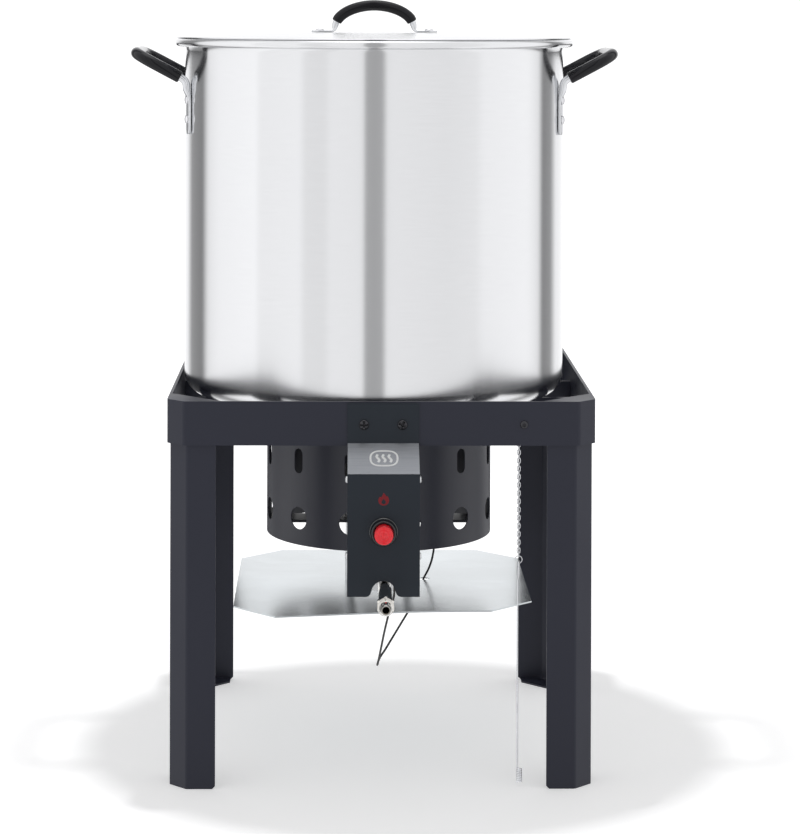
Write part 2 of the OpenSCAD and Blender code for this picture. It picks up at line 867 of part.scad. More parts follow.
// Eye, twisted neck, thin rod and the small coil that grips a match
module match_rod() {
    bottom = rod_top - rod_len;
    color("#c4c6ca")
        translate([holder_x, chain_y, 0]) {
            translate([0, 0, hook_z]) rotate([0, 0, 90]) ring_xz(hook_r, hook_wire);
            translate([0, 0, rod_top]) cylinder(r = 1.9, h = hook_z - hook_r - rod_top + e);
            translate([rod_shift, 0, bottom]) cylinder(r = 0.9, h = rod_len + e, $fn = 24);
            for (i = [0:coil_turns - 1])
                translate([rod_shift + coil_r, 0, bottom + 0.9 - i * coil_pitch])
                    rotate_extrude($fn = 48) translate([coil_r, 0]) circle(0.95, $fn = 24);
        }
}

// ---- Pot ----

module rivet_places() {
    for (sx = [-1, 1], sy = [-1, 1], z = rivet_z)
        corner(sx, sy) rotate([0, 0, strap_angle]) translate([0, 0, z]) children();
}

module pot() {
    in_r = pot_r - pot_wall;
    in_corner = pot_corner - pot_wall;
    floor_t = pot_wall + 0.5;
    color("#c9cbce")
        at_pot()
            difference() {
                rotate_extrude($fn = 180)
                    difference() {
                        union() {
                            translate([0, pot_z]) square([pot_r - pot_corner, pot_corner]);
                            translate([0, pot_z + pot_corner]) square([pot_r, pot_h - pot_corner]);
                            translate([pot_r - pot_corner, pot_z + pot_corner]) circle(pot_corner);
                            translate([pot_r - 1, rim_z - pot_wall]) square([bead_c.x - pot_r + 1, pot_wall]);
                            translate(bead_c) circle(bead_r);
                        }
                        translate([-pot_r, pot_z - 1]) square([pot_r, pot_h + 2]);
                        translate([0, pot_z + floor_t]) square([in_r - in_corner, pot_h]);
                        translate([0, pot_z + floor_t + in_corner]) square([in_r, pot_h]);
                        translate([in_r - in_corner, pot_z + floor_t + in_corner]) circle(in_corner);
                    }
                rivet_places() rod_x(2.5, in_r - 3, pot_r + 3);
            }
}

// A U-shaped bar in the XY plane: two legs, round corners and an outer bar
module loop(r, start) {
    bend = 24;
    half = handle_w / 2;
    reach = (handle_reach - pot_r * cos(strap_angle) - 3) / cos(handle_tilt);
    for (s = [0, 1])
        mirror([0, s, 0]) {
            translate([0, half, 0]) rod_x(r, start, reach - bend);
            translate([reach - bend, half - bend, 0])
                rotate_extrude(angle = 90) translate([bend, 0]) circle(r);
        }
    translate([reach, 0, 0]) rod_y(r, bend - half, half - bend);
}

module at_loop() {
    translate([pot_r * cos(strap_angle) + 3, 0, handle_z]) rotate([0, -handle_tilt, 0]) children();
}

// The flattened strip that is riveted to the wall
module strap() {
    strip_t = 3.2;
    strip_w = 13;
    low = handle_z - 50;
    difference() {
        rotate([0, 0, strap_angle])
            translate([pot_r + 0.3, 0, 0]) {
                translate([0, -strip_w / 2, low]) cube([strip_t, strip_w, 40]);
                translate([0, 0, low]) rod_x(strip_w / 2, 0, strip_t);
                translate([0, -rod_r, low + 39]) cube([strip_t, 2 * rod_r, 9]);
                translate([rod_r, 0, low + 38]) cylinder(r = rod_r, h = 12);
            }
        for (z = rivet_z)
            rotate([0, 0, strap_angle]) translate([0, 0, z]) rod_x(2.5, pot_r - 2, pot_r + 8);
    }
}

module handle() {
    color("#c4c6ca") {
        at_loop() loop(rod_r, 0);
        for (s = [0, 1])
            mirror([0, s, 0]) {
                strap();
                rotate([0, 0, strap_angle]) translate([pot_r + 0.3 + rod_r, 0, handle_z]) sphere(rod_r + 0.2);
            }
    }
}

module grip() {
    color("#17171a")
        at_loop()
            difference() {
                loop(grip_r, 7);
                loop(rod_r, 0);
            }
}

module handle_rivets() {
    color("#d5d7da")
        at_pot()
            rivet_places() {
                rod_x(2.4, pot_r - pot_wall - 1, pot_r + 4);
                translate([pot_r + 3.5, 0, 0]) rotate([0, 90, 0]) dome(4.6, 0.8, 2);
                rod_x(4, pot_r - pot_wall - 1.6, pot_r - pot_wall - 0.3);
            }
}

// ---- Lid ----

// Height of the lid's upper face at radius r
function lid_height(r) = lid_top - lid_rise * pow(r / (lid_d / 2 - 9), 2);

module lid() {
    edge = lid_d / 2;
    dome_r = edge - 9;
    steps = 12;
    skirt_r = pot_r - pot_wall - 2.4;
    top = [for (i = [0:steps]) let (r = dome_r * i / steps) [r, lid_height(r)]];
    under = [for (i = [steps:-1:0]) top[i] - [0, lid_t]];
    color("#d2d4d6")
        at_pot()
            difference() {
                rotate_extrude($fn = 180) {
                    polygon(concat(top, [[edge, lid_z + lid_t], [edge, lid_z]], under));
                    translate([skirt_r, lid_z - 7]) square([1.4, lid_height(skirt_r) - lid_t / 2 - lid_z + 7]);
                }
                for (x = [-lid_rivet_x, lid_rivet_x])
                    translate([x, 0, lid_z - 2]) cylinder(r = 2.5, h = 20);
            }
}

foot_z = lid_height(46) + 0.1;
arch_z = lid_top + 29 - lid_arch_r;
arch_half = 51.5;

module arch(r, half) {
    translate([0, 0, arch_z])
        rotate([90, 0, 0])
            rotate([0, 0, 90 - half])
                rotate_extrude(angle = 2 * half) translate([lid_arch_r, 0]) circle(r);
}

module lid_handle() {
    x0 = lid_arch_r * sin(arch_half);
    z0 = arch_z + lid_arch_r * cos(arch_half);
    x1 = x0 + 3;
    color("#c4c6ca")
        at_pot() {
            arch(3.5, arch_half);
            both_sides() {
                translate([x0, 0, z0]) sphere(3.7);
                translate([x0, 0, z0])
                    rotate([0, 180 - atan2(x1 - x0, z0 - foot_z - 2), 0])
                        cylinder(r = 3.5, h = norm([x1 - x0, z0 - foot_z - 2]));
                difference() {
                    union() {
                        translate([x1 - 4, -6, foot_z]) cube([20, 12, 2.2]);
                        translate([x1 + 16, 0, foot_z]) cylinder(r = 6, h = 2.2);
                    }
                    translate([lid_rivet_x, 0, foot_z - 1]) cylinder(r = 2.5, h = 5);
                }
            }
        }
}

module lid_grip() {
    color("#17171a")
        at_pot()
            difference() {
                arch(6, arch_half - 1);
                arch(3.5, arch_half);
            }
}

module lid_rivets() {
    color("#d5d7da")
        at_pot()
            for (x = [-lid_rivet_x, lid_rivet_x])
                translate([x, 0, 0]) {
                    under = lid_height(lid_rivet_x) - lid_t - 0.1;
                    translate([0, 0, under - 1]) cylinder(r = 2.4, h = foot_z - under + 3.4);
                    translate([0, 0, foot_z + 2.2]) dome(4.6, 0.6, 1.6);
                    translate([0, 0, under - 1.2]) cylinder(r = 4, h = 1.2);
                }
}

top_band();
leg(-1, -1);  // leg_front_left
leg(1, -1);  // leg_front_right
leg(-1, 1);  // leg_back_left
leg(1, 1);  // leg_back_right
corner_gussets();
cross_bars();
long_bars();
wind_guard();
burner_bracket();
burner_head();
burner_venturi();
air_shutter();
gas_orifice();
gas_pipe();
gas_inlet();
pipe_saddle();
saddle_screws();
electrode_ceramic();
electrode_pin();
heat_shield();
shield_bolts();
shield_spacers();
shield_nuts();
box_cover();
box_bracket();
flange_screws();
flange_nuts();
side_screws();
igniter_bezel();
igniter_body();
igniter_nut();
igniter_spring();
igniter_terminal();
igniter_button();
igniter_wire();
holder_screw();
holder_nut();
chain_eye();
chain();
split_ring();
match_rod();
pot();
at_pot() mirror([1, 0, 0]) handle();  // handle_left
at_pot() handle();  // handle_right
at_pot() mirror([1, 0, 0]) grip();  // grip_left
at_pot() grip();  // grip_right
handle_rivets();
lid();
lid_handle();
lid_grip();
lid_rivets();
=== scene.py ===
import json
import math

import bmesh
import bpy
from bpy.props import FloatProperty, FloatVectorProperty, IntProperty, PointerProperty
from mathutils import Matrix, Vector


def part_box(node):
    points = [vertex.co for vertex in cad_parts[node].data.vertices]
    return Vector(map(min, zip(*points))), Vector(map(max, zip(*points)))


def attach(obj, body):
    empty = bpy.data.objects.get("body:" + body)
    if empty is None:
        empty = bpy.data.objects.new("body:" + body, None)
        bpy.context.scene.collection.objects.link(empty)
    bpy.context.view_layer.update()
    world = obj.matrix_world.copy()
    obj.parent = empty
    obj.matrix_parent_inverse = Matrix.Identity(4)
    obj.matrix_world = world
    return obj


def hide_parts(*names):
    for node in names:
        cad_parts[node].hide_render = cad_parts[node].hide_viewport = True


bl_info = {
    "name": "Turkey Fryer Kit",
    "version": (1, 0, 0),
    "blender": (4, 5, 0),
    "location": "View3D > Sidebar > Fryer",
    "description": "Stock pot, stand, burner and igniter box of a turkey fryer, with their finishes",
    "category": "Add Mesh",
}

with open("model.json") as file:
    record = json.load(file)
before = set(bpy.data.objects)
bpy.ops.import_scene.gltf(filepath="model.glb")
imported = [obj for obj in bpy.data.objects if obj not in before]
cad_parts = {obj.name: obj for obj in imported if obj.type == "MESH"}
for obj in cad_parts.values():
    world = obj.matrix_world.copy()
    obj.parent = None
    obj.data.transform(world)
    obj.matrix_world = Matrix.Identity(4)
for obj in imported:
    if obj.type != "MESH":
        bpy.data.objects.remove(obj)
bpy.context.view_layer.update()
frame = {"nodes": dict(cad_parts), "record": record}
MM = 0.001


def low(node):
    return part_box(node)[0]


def high(node):
    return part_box(node)[1]


def middle(node):
    lo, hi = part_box(node)
    return (lo + hi) / 2


POT_AXIS = Vector((middle("pot").x, 0, 0))
RIM_OVERHANG = 11.6 * MM
POT_WALL = (high("pot").x - low("pot").x) / 2 - RIM_OVERHANG
RIM_TOP = high("pot").z
# How far a handle's rod and the outside of its flattened end stand off the pot's wall
ROD_STANDOFF = 4.3 * MM
STRAP_FACE = 3.5 * MM
# How far below the rim a handle bends and its rivets sit
HANDLE_DROP = 45 * MM
RIVET_DROPS = (65 * MM, 85.5 * MM)
IGNITER = middle("igniter_bezel")
HOLDER_X = middle("chain").x
HOLDER_Y = middle("chain").y
GAS = middle("gas_pipe")
# The control box's sloping top and its flame mark, as heights
SLOPE_LOW = 322 * MM
SLOPE_TOP = 347 * MM
FLAME_HEIGHT = 297.5 * MM
# The heat shield's holes, each with its X, its Y and its radius in mm
SHIELD_HOLES = ((49, 4, 6.5), (31, 0, 3.1), (-31, 0, 3.1))
SHIELD_CUT = 44.5 * MM
# Turns that carry +Z to the front and to the back
TO_FRONT = Matrix.Rotation(math.pi / 2, 4, "X")
TO_BACK = Matrix.Rotation(-math.pi / 2, 4, "X")

# The igniter wire's route from the electrode, through the heat shield, to the igniter
WIRE_ROUTE = [
    (64, 0, 217), (62.5, 0, 210), (60.5, 1, 201), (59.5, 1, 193), (57.5, 2, 183),
    (54, 3, 173), (49, 4, 163), (47.5, 2, 156.5), (45, -4, 151), (41, -13, 146),
    (36, -25, 141), (31, -37, 136), (26, -49, 131), (21, -61, 126), (16, -73, 121),
    (11, -85, 116), (6, -97, 111), (1, -108, 106.5), (-1.5, -116, 103.5),
    (-2.5, -124, 102.5), (-2.5, -132, 104), (-2, -139, 108), (-1, -149, 116),
    (0.5, -163, 128), (2, -177, 140), (3.5, -191, 152), (5.5, -205, 165),
    (7.5, -218, 177), (9.8, -230, 188), (12, -239, 198), (12.5, -245, 208),
    (12.3, -247.5, 217), (11.5, -247.5, 226), (10, -245.5, 234), (8, -243, 239.5),
    (7, -240.5, 243.5), (7, -240, 246.5),
]


# ---- Settings ----


class FryerPotSettings(bpy.types.PropertyGroup):
    wall: FloatProperty(name="Wall", description="Thickness of the pot's wall", default=2 * MM, unit="LENGTH")
    base_round: FloatProperty(
        name="Base round", description="Outside radius between wall and base",
        default=21 * MM, unit="LENGTH",
    )
    bead: FloatProperty(
        name="Rim bead", description="Radius of the rolled rim",
        default=4.6 * MM, unit="LENGTH",
    )
    segments: IntProperty(name="Segments", description="Flats around the pot and lid", default=256, min=48)
    handle_width: FloatProperty(
        name="Handle width", description="Distance between a handle's legs",
        default=120 * MM, unit="LENGTH",
    )
    handle_tilt: FloatProperty(
        name="Handle tilt", description="Upward tilt of the handles",
        default=math.radians(28), subtype="ANGLE",
    )
    rod: FloatProperty(name="Rod", description="Radius of the handle rod", default=4 * MM, unit="LENGTH")
    grip: FloatProperty(name="Grip", description="Radius of the handle grip", default=6.4 * MM, unit="LENGTH")
    metal: FloatVectorProperty(
        name="Aluminium", description="Colour of the pot and lid",
        default=(0.78, 0.785, 0.795), subtype="COLOR", min=0, max=1,
    )


class FryerStandSettings(bpy.types.PropertyGroup):
    coat: FloatVectorProperty(
        name="Powder coat", description="Colour of the stand and box",
        default=(0.0222, 0.0238, 0.0365), subtype="COLOR", min=0, max=1,
    )
    zinc: FloatVectorProperty(
        name="Galvanised", description="Colour of the heat shield",
        default=(0.62, 0.655, 0.67), subtype="COLOR", min=0, max=1,
    )
    droop: FloatProperty(
        name="Shield droop", description="How far the heat shield's front left corner hangs",
        default=4 * MM, unit="LENGTH",
    )
    red: FloatVectorProperty(
        name="Button red", description="Colour of the igniter button",
        default=(0.78, 0.012, 0.022), subtype="COLOR", min=0, max=1,
    )


class FryerChainSettings(bpy.types.PropertyGroup):
    links: IntProperty(name="Links", description="Number of chain links", default=29, min=3)
    pitch: FloatProperty(
        name="Pitch", description="Distance from link to link",
        default=4.1 * MM, unit="LENGTH",
    )
    wire: FloatProperty(
        name="Wire", description="Radius of the links' wire",
        default=0.55 * MM, unit="LENGTH",
    )


class FryerStageSettings(bpy.types.PropertyGroup):
    key_height: FloatProperty(
        name="Key height", description="Height of the key light above the floor",
        default=2.0, unit="LENGTH",
    )
    key_power: FloatProperty(name="Key power", description="Power of the key light in watts", default=16.0)
    sky: FloatProperty(
        name="Surround", description="Brightness of the studio's soft boxes in reflections",
        default=1.18,
    )
    fill: FloatProperty(name="Fill", description="Brightness of the soft light from all sides", default=0.42)
    # The floor's painted glow under the fryer: kept below the glow farther out, it paints a darker shade
    # there
    glow: FloatProperty(
        name="Floor glow", description="Brightness added to the pale floor under the fryer",
        default=0.35,
    )


# ---- Meshes ----


def finish_mesh(mesh, sharp=32):
    """Merges doubles, turns the faces outwards and shades smooth up to an angle."""
    bm = bmesh.new()
    bm.from_mesh(mesh)
    bmesh.ops.remove_doubles(bm, verts=bm.verts, dist=1e-6)
    bmesh.ops.recalc_face_normals(bm, faces=bm.faces)
    bm.to_mesh(mesh)
    bm.free()
    mesh.polygons.foreach_set("use_smooth", [True] * len(mesh.polygons))
    mesh.set_sharp_from_angle(angle=math.radians(sharp))
    mesh.update()


def piece(name, verts, faces, material, body, slot, stands_for=(), sharp=32):
    """One finished piece, with its place in its mesh, riding on a body."""
    mesh = bpy.data.meshes.new(name)
    mesh.from_pydata([tuple(v) for v in verts], [], faces)
    finish_mesh(mesh, sharp)
    return settle(name, mesh, material, body, stands_for)


def settle(name, mesh, material, body, stands_for=()):
    made = bpy.data.objects.new(name, mesh)
    bpy.context.scene.collection.objects.link(made)
    if material:
        mesh.materials.clear()
        mesh.materials.append(material)
    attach(made, body)
    if stands_for:
        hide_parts(*stands_for)
    return made


def join(parts):
    """One list of vertices and faces from several."""
    verts, faces = [], []
    for v, f in parts:
        start = len(verts)
        verts += [Vector(p) for p in v]
        faces += [[i + start for i in face] for face in f]
    return verts, faces


def placed(part, matrix):
    return [matrix @ Vector(v) for v in part[0]], part[1]


def turned(profile, segments):
    """A closed outline of (radius, height) turned about Z. Points with no radius close on the axis."""
    verts, rows = [], []
    for r, z in profile:
        if r < 1e-7:
            rows.append([len(verts)] * segments)
            verts.append(Vector((0, 0, z)))
            continue
        rows.append(list(range(len(verts), len(verts) + segments)))
        for k in range(segments):
            a = 2 * math.pi * k / segments
            verts.append(Vector((r * math.cos(a), r * math.sin(a), z)))
    faces = []
    for i in range(len(rows)):
        one, two = rows[i], rows[(i + 1) % len(rows)]
        for k in range(segments):
            n = (k + 1) % segments
            face = list(dict.fromkeys([one[k], one[n], two[n], two[k]]))
            if len(face) > 2:
                faces.append(face)
    return verts, faces


def round_points(centre, radius, start, stop, steps):
    """Points on an arc, in degrees, for a turned outline."""
    return [
        (centre[0] + radius * math.cos(math.radians(start + (stop - start) * i / steps)),
         centre[1] + radius * math.sin(math.radians(start + (stop - start) * i / steps)))
        for i in range(steps + 1)
    ]


def oval(wide, thick, sides=20):
    turns = [2 * math.pi * k / sides for k in range(sides)]
    return [(wide * math.cos(a), thick * math.sin(a)) for a in turns]


def flat_bar(wide, thick, sides=20):
    """A bar's section, square-cornered when flat and round when as thick as wide."""
    power = 1 if abs(wide - thick) < 1e-5 else 0.35 + 0.65 * min(1, (thick / wide) ** 1.5)
    out = []
    for k in range(sides):
        c, s = math.cos(2 * math.pi * k / sides), math.sin(2 * math.pi * k / sides)
        out.append((wide * math.copysign(abs(c) ** power, c), thick * math.copysign(abs(s) ** power, s)))
    return out


def swept(points, sections, side, closed=False):
    """Sections carried along points without needless twist; side is the first section's wide way."""
    points = [Vector(p) for p in points]
    n = len(points)
    verts, faces = [], []
    u = Vector(side)
    for i, p in enumerate(points):
        before = points[i - 1] if i or closed else p
        after = points[(i + 1) % n] if i < n - 1 or closed else p
        t = (after - before).normalized()
        u = (u - t * u.dot(t)).normalized()
        v = t.cross(u)
        section = sections[i] if isinstance(sections[0][0], (tuple, list)) else sections
        verts += [p + u * a + v * b for a, b in section]
    m = len(verts) // n
    for i in range(n if closed else n - 1):
        for k in range(m):
            a, b = i * m + k, i * m + (k + 1) % m
            c, d = ((i + 1) % n) * m + (k + 1) % m, ((i + 1) % n) * m + k
            faces.append([a, b, c, d])
    if not closed:
        faces.append(list(range(m))[::-1])
        faces.append(list(range((n - 1) * m, n * m)))
    return verts, faces


def smooth_route(points, steps):
    """A smooth curve through given points."""
    out = []
    last = len(points) - 1
    for i in range(last):
        a, b, c, d = (Vector(points[j]) for j in (max(i - 1, 0), i, i + 1, min(i + 2, last)))
        for s in range(steps):
            t = s / steps
            out.append((
                2 * b + (c - a) * t + (2 * a - 5 * b + 4 * c - d) * t ** 2 + (3 * b - a - 3 * c + d) * t ** 3
            ) / 2)
    out.append(Vector(points[last]))
    return out


def bent_route(points, radius, steps=8):
    """Straight runs with rounded bends."""
    points = [Vector(p) for p in points]
    radii = radius if isinstance(radius, (list, tuple)) else [radius] * (len(points) - 2)
    out = [points[0]]
    for p, q, s, r in zip(points, points[1:], points[2:], radii):
        a, b = (p - q).normalized(), (s - q).normalized()
        half = a.angle(b) / 2
        centre = q + (a + b).normalized() * (r / math.sin(half))
        one, two = q + a * (r / math.tan(half)) - centre, q + b * (r / math.tan(half)) - centre
        turn = one.angle(two)
        axis = one.cross(two).normalized()
        out += [centre + Matrix.Rotation(turn * i / steps, 3, axis) @ one for i in range(steps + 1)]
    out.append(points[-1])
    return out


def slab(outline, thick, matrix):
    """A flat plate with a given outline, from z = 0 to thick, then placed."""
    n = len(outline)
    verts = [Vector((x, y, 0)) for x, y in outline] + [Vector((x, y, thick)) for x, y in outline]
    faces = [list(range(n))[::-1], list(range(n, 2 * n))]
    faces += [[i, (i + 1) % n, n + (i + 1) % n, n + i] for i in range(n)]
    return placed((verts, faces), matrix)


# ---- Geometry node trees ----


def new_tree(name, inputs):
    """A geometry tree with named inputs, its group input and its output socket."""
    tree = bpy.data.node_groups.new(name, "GeometryNodeTree")
    tree.interface.new_socket("Geometry", in_out="INPUT", socket_type="NodeSocketGeometry")
    for label, kind, default in inputs:
        made = tree.interface.new_socket(label, in_out="INPUT", socket_type=f"NodeSocket{kind}")
        if default is not None:
            made.default_value = default
    tree.interface.new_socket("Geometry", in_out="OUTPUT", socket_type="NodeSocketGeometry")
    return tree


def put(tree, kind, settings=None, **inputs):
    """One node with its settings and inputs; an input is a value or another node's output."""
    node = tree.nodes.new(kind)
    for key, value in (settings or {}).items():
        setattr(node, key, value)
    for key, value in inputs.items():
        key = int(key[1:]) if key[0] == "i" and key[1:].isdigit() else key.replace("_", " ")
        socket = node.inputs[key]
        if isinstance(value, bpy.types.NodeSocket):
            tree.links.new(value, socket)
        else:
            socket.default_value = value
    return node


def calc(tree, operation, *values):
    """A math node."""
    return put(tree, "ShaderNodeMath", {"operation": operation}, **{f"i{i}": v for i, v in enumerate(values)})


def circle(tree, radius, points):
    """A curve circle."""
    return put(tree, "GeometryNodeCurvePrimitiveCircle", {"mode": "RADIUS"}, Resolution=points, Radius=radius)


def noise(tree, vector, scale, detail, roughness):
    return put(tree, "ShaderNodeTexNoise", Vector=vector, Scale=scale, Detail=detail, Roughness=roughness)


def grey(tree, value):
    """A colour that is as bright as a value."""
    return put(tree, "ShaderNodeCombineColor", Red=value, Green=value, Blue=value)


def end_tree(tree, geometry, material):
    """Realizes the instances, sets the material and joins the output."""
    real = put(tree, "GeometryNodeRealizeInstances", Geometry=geometry)
    painted = put(tree, "GeometryNodeSetMaterial", Geometry=real.outputs[0], Material=material)
    out = tree.nodes.new("NodeGroupOutput")
    tree.links.new(painted.outputs[0], out.inputs[0])
    return tree


def grown(name, tree, values, base=None, sharp=32):
    """The plain mesh that a geometry tree makes from a base mesh with the given input values."""
    base = base or bpy.data.meshes.new(name)
    host = bpy.data.objects.new(name + ".host", base)
    bpy.context.scene.collection.objects.link(host)
    modifier = host.modifiers.new("grow", "NODES")
    modifier.node_group = tree
    for item in tree.interface.items_tree:
        if item.item_type == "SOCKET" and item.in_out == "INPUT" and item.name in values:
            modifier[item.identifier] = values[item.name]
    host.update_tag()
    graph = bpy.context.evaluated_depsgraph_get()
    mesh = bpy.data.meshes.new_from_object(host.evaluated_get(graph))
    mesh.name = name
    bpy.data.objects.remove(host)
    finish_mesh(mesh, sharp)
    return mesh


def scatter_tree():
    """Copies of one fastener at the base's points, turned by each point's own turn."""
    tree = new_tree("Scatter fasteners", [
        ("Fastener", "Object", None), ("Size", "Float", 1.0), ("Finish", "Material", None),
    ])
    given = tree.nodes.new("NodeGroupInput")
    points = put(tree, "GeometryNodeMeshToPoints", Mesh=given.outputs["Geometry"])
    shape = put(tree, "GeometryNodeObjectInfo", Object=given.outputs["Fastener"])
    turn = put(tree, "GeometryNodeInputNamedAttribute", {"data_type": "FLOAT_VECTOR"}, Name="turn")
    angles = put(tree, "FunctionNodeEulerToRotation", Euler=turn.outputs["Attribute"])
    copies = put(
        tree, "GeometryNodeInstanceOnPoints", Points=points.outputs[0], Instance=shape.outputs["Geometry"],
        Rotation=angles.outputs[0], Scale=given.outputs["Size"],
    )
    return end_tree(tree, copies.outputs[0], given.outputs["Finish"])


def scattered(name, fastener, places, finish, body, stands_for=(), sharp=32):
    """One mesh of a fastener repeated at places, each a point and a turn."""
    base = bpy.data.meshes.new(name + ".points")
    base.from_pydata([tuple(p) for p, _ in places], [], [])
    turns = base.attributes.new("turn", "FLOAT_VECTOR", "POINT")
    turns.data.foreach_set("vector", [a for _, turn in places for a in turn])
    mould = bpy.data.meshes.new(name + ".mould")
    mould.from_pydata([tuple(v) for v in fastener[0]], [], fastener[1])
    holder = bpy.data.objects.new(name + ".mould", mould)
    bpy.context.scene.collection.objects.link(holder)
    mesh = grown(name, scatter_tree(), {"Fastener": holder, "Size": 1.0, "Finish": finish}, base, sharp)
    bpy.data.objects.remove(holder)
    return settle(name, mesh, None, body, stands_for)


def chain_tree():
    """Links along a line, each turned a quarter from the one before."""
    tree = new_tree("Chain", [
        ("Links", "Int", 29), ("Pitch", "Float", 4.1 * MM), ("Wire", "Float", 0.55 * MM),
        ("Half width", "Float", 1.4 * MM), ("Top", "Vector", (0, 0, 0)), ("Finish", "Material", None),
    ])
    given = tree.nodes.new("NodeGroupInput")
    drop = calc(tree, "MULTIPLY", given.outputs["Pitch"], -1.0)
    step = put(tree, "ShaderNodeCombineXYZ", Z=drop.outputs[0])
    line = put(
        tree, "GeometryNodeMeshLine", Count=given.outputs["Links"], Start_Location=given.outputs["Top"],
        Offset=step.outputs[0],
    )
    # A link's centre line is a circle pulled out along Z to the link's length
    ring = circle(tree, given.outputs["Half width"], 28)
    place = put(tree, "GeometryNodeInputPosition")
    split = put(tree, "ShaderNodeSeparateXYZ", Vector=place.outputs[0])
    sign = calc(tree, "SIGN", split.outputs["Y"])
    inner = calc(tree, "MULTIPLY_ADD", given.outputs["Pitch"], 0.5, 0.05 * MM)
    straight = calc(tree, "ADD", inner.outputs[0], given.outputs["Wire"])
    straight = calc(tree, "SUBTRACT", straight.outputs[0], given.outputs["Half width"])
    up = calc(tree, "MULTIPLY_ADD", sign.outputs[0], straight.outputs[0], split.outputs["Y"])
    upright = put(tree, "ShaderNodeCombineXYZ", X=split.outputs["X"], Y=0.0, Z=up.outputs[0])
    oblong = put(tree, "GeometryNodeSetPosition", Geometry=ring.outputs["Curve"], Position=upright.outputs[0])
    wire = circle(tree, given.outputs["Wire"], 8)
    link = put(tree, "GeometryNodeCurveToMesh", Curve=oblong.outputs[0], Profile_Curve=wire.outputs["Curve"])
    index = put(tree, "GeometryNodeInputIndex")
    odd = calc(tree, "MODULO", index.outputs[0], 2.0)
    even = calc(tree, "SUBTRACT", 1.0, odd.outputs[0])
    quarter = calc(tree, "MULTIPLY", even.outputs[0], math.pi / 2)
    turn = put(tree, "ShaderNodeCombineXYZ", Z=quarter.outputs[0])
    angles = put(tree, "FunctionNodeEulerToRotation", Euler=turn.outputs[0])
    copies = put(
        tree, "GeometryNodeInstanceOnPoints", Points=line.outputs[0], Instance=link.outputs[0],
        Rotation=angles.outputs[0],
    )
    return end_tree(tree, copies.outputs[0], given.outputs["Finish"])


def coil_tree():
    """Wire wound into a coil about Z."""
    tree = new_tree("Coil", [
        ("Turns", "Float", 5.0), ("Radius", "Float", 5 * MM), ("Top radius", "Float", 5 * MM),
        ("Height", "Float", 10 * MM), ("Wire", "Float", 0.5 * MM), ("Steps", "Int", 24),
        ("Finish", "Material", None),
    ])
    given = tree.nodes.new("NodeGroupInput")
    spiral = put(
        tree, "GeometryNodeCurveSpiral", Resolution=given.outputs["Steps"], Rotations=given.outputs["Turns"],
        Start_Radius=given.outputs["Radius"], End_Radius=given.outputs["Top radius"],
        Height=given.outputs["Height"],
    )
    wire = circle(tree, given.outputs["Wire"], 10)
    tube = put(
        tree, "GeometryNodeCurveToMesh", Curve=spiral.outputs[0], Profile_Curve=wire.outputs["Curve"],
        Fill_Caps=True,
    )
    return end_tree(tree, tube.outputs[0], given.outputs["Finish"])


def coil(turns, radius, height, wire, steps=22, top_radius=None):
    """A coil's vertices and faces, standing on z = 0."""
    mesh = grown("coil", coil_tree(), {
        "Turns": float(turns), "Radius": radius, "Top radius": radius if top_radius is None else top_radius,
        "Height": height, "Wire": wire, "Steps": steps,
    })
    part = [v.co.copy() for v in mesh.vertices], [list(p.vertices) for p in mesh.polygons]
    bpy.data.meshes.remove(mesh)
    return part


# ---- Shader groups ----


def shader_group(name, inputs, outputs, build):
    """A shader node group, made once, with named inputs and outputs."""
    found = bpy.data.node_groups.get(name)
    if found:
        return found
    tree = bpy.data.node_groups.new(name, "ShaderNodeTree")
    for label, kind, default in inputs:
        made = tree.interface.new_socket(label, in_out="INPUT", socket_type=f"NodeSocket{kind}")
        if default is not None:
            made.default_value = default
    for label, kind in outputs:
        tree.interface.new_socket(label, in_out="OUTPUT", socket_type=f"NodeSocket{kind}")
    given, result = tree.nodes.new("NodeGroupInput"), tree.nodes.new("NodeGroupOutput")
    for label, socket in build(tree, given.outputs).items():
        tree.links.new(socket, result.inputs[label])
    return tree


def coat_texture():
    """Orange peel and fine speckle of a sprayed or powder coat."""

    def build(tree, given):
        peel = noise(tree, given["Vector"], given["Scale"], 2.0, 0.5)
        fine = calc(tree, "MULTIPLY", given["Scale"], 4.3)
        speck = noise(tree, given["Vector"], fine.outputs[0], 3.0, 0.7)
        wide = noise(tree, given["Vector"], 9.0, 3.0, 0.55)
        height = calc(tree, "MULTIPLY_ADD", speck.outputs[0], 0.35, peel.outputs[0])
        return {"Height": height.outputs[0], "Speckle": speck.outputs[0], "Cloud": wide.outputs[0]}

    return shader_group(
        "Coat texture", [("Vector", "Vector", None), ("Scale", "Float", 900.0)],
        [("Height", "Float"), ("Speckle", "Float"), ("Cloud", "Float")], build,
    )


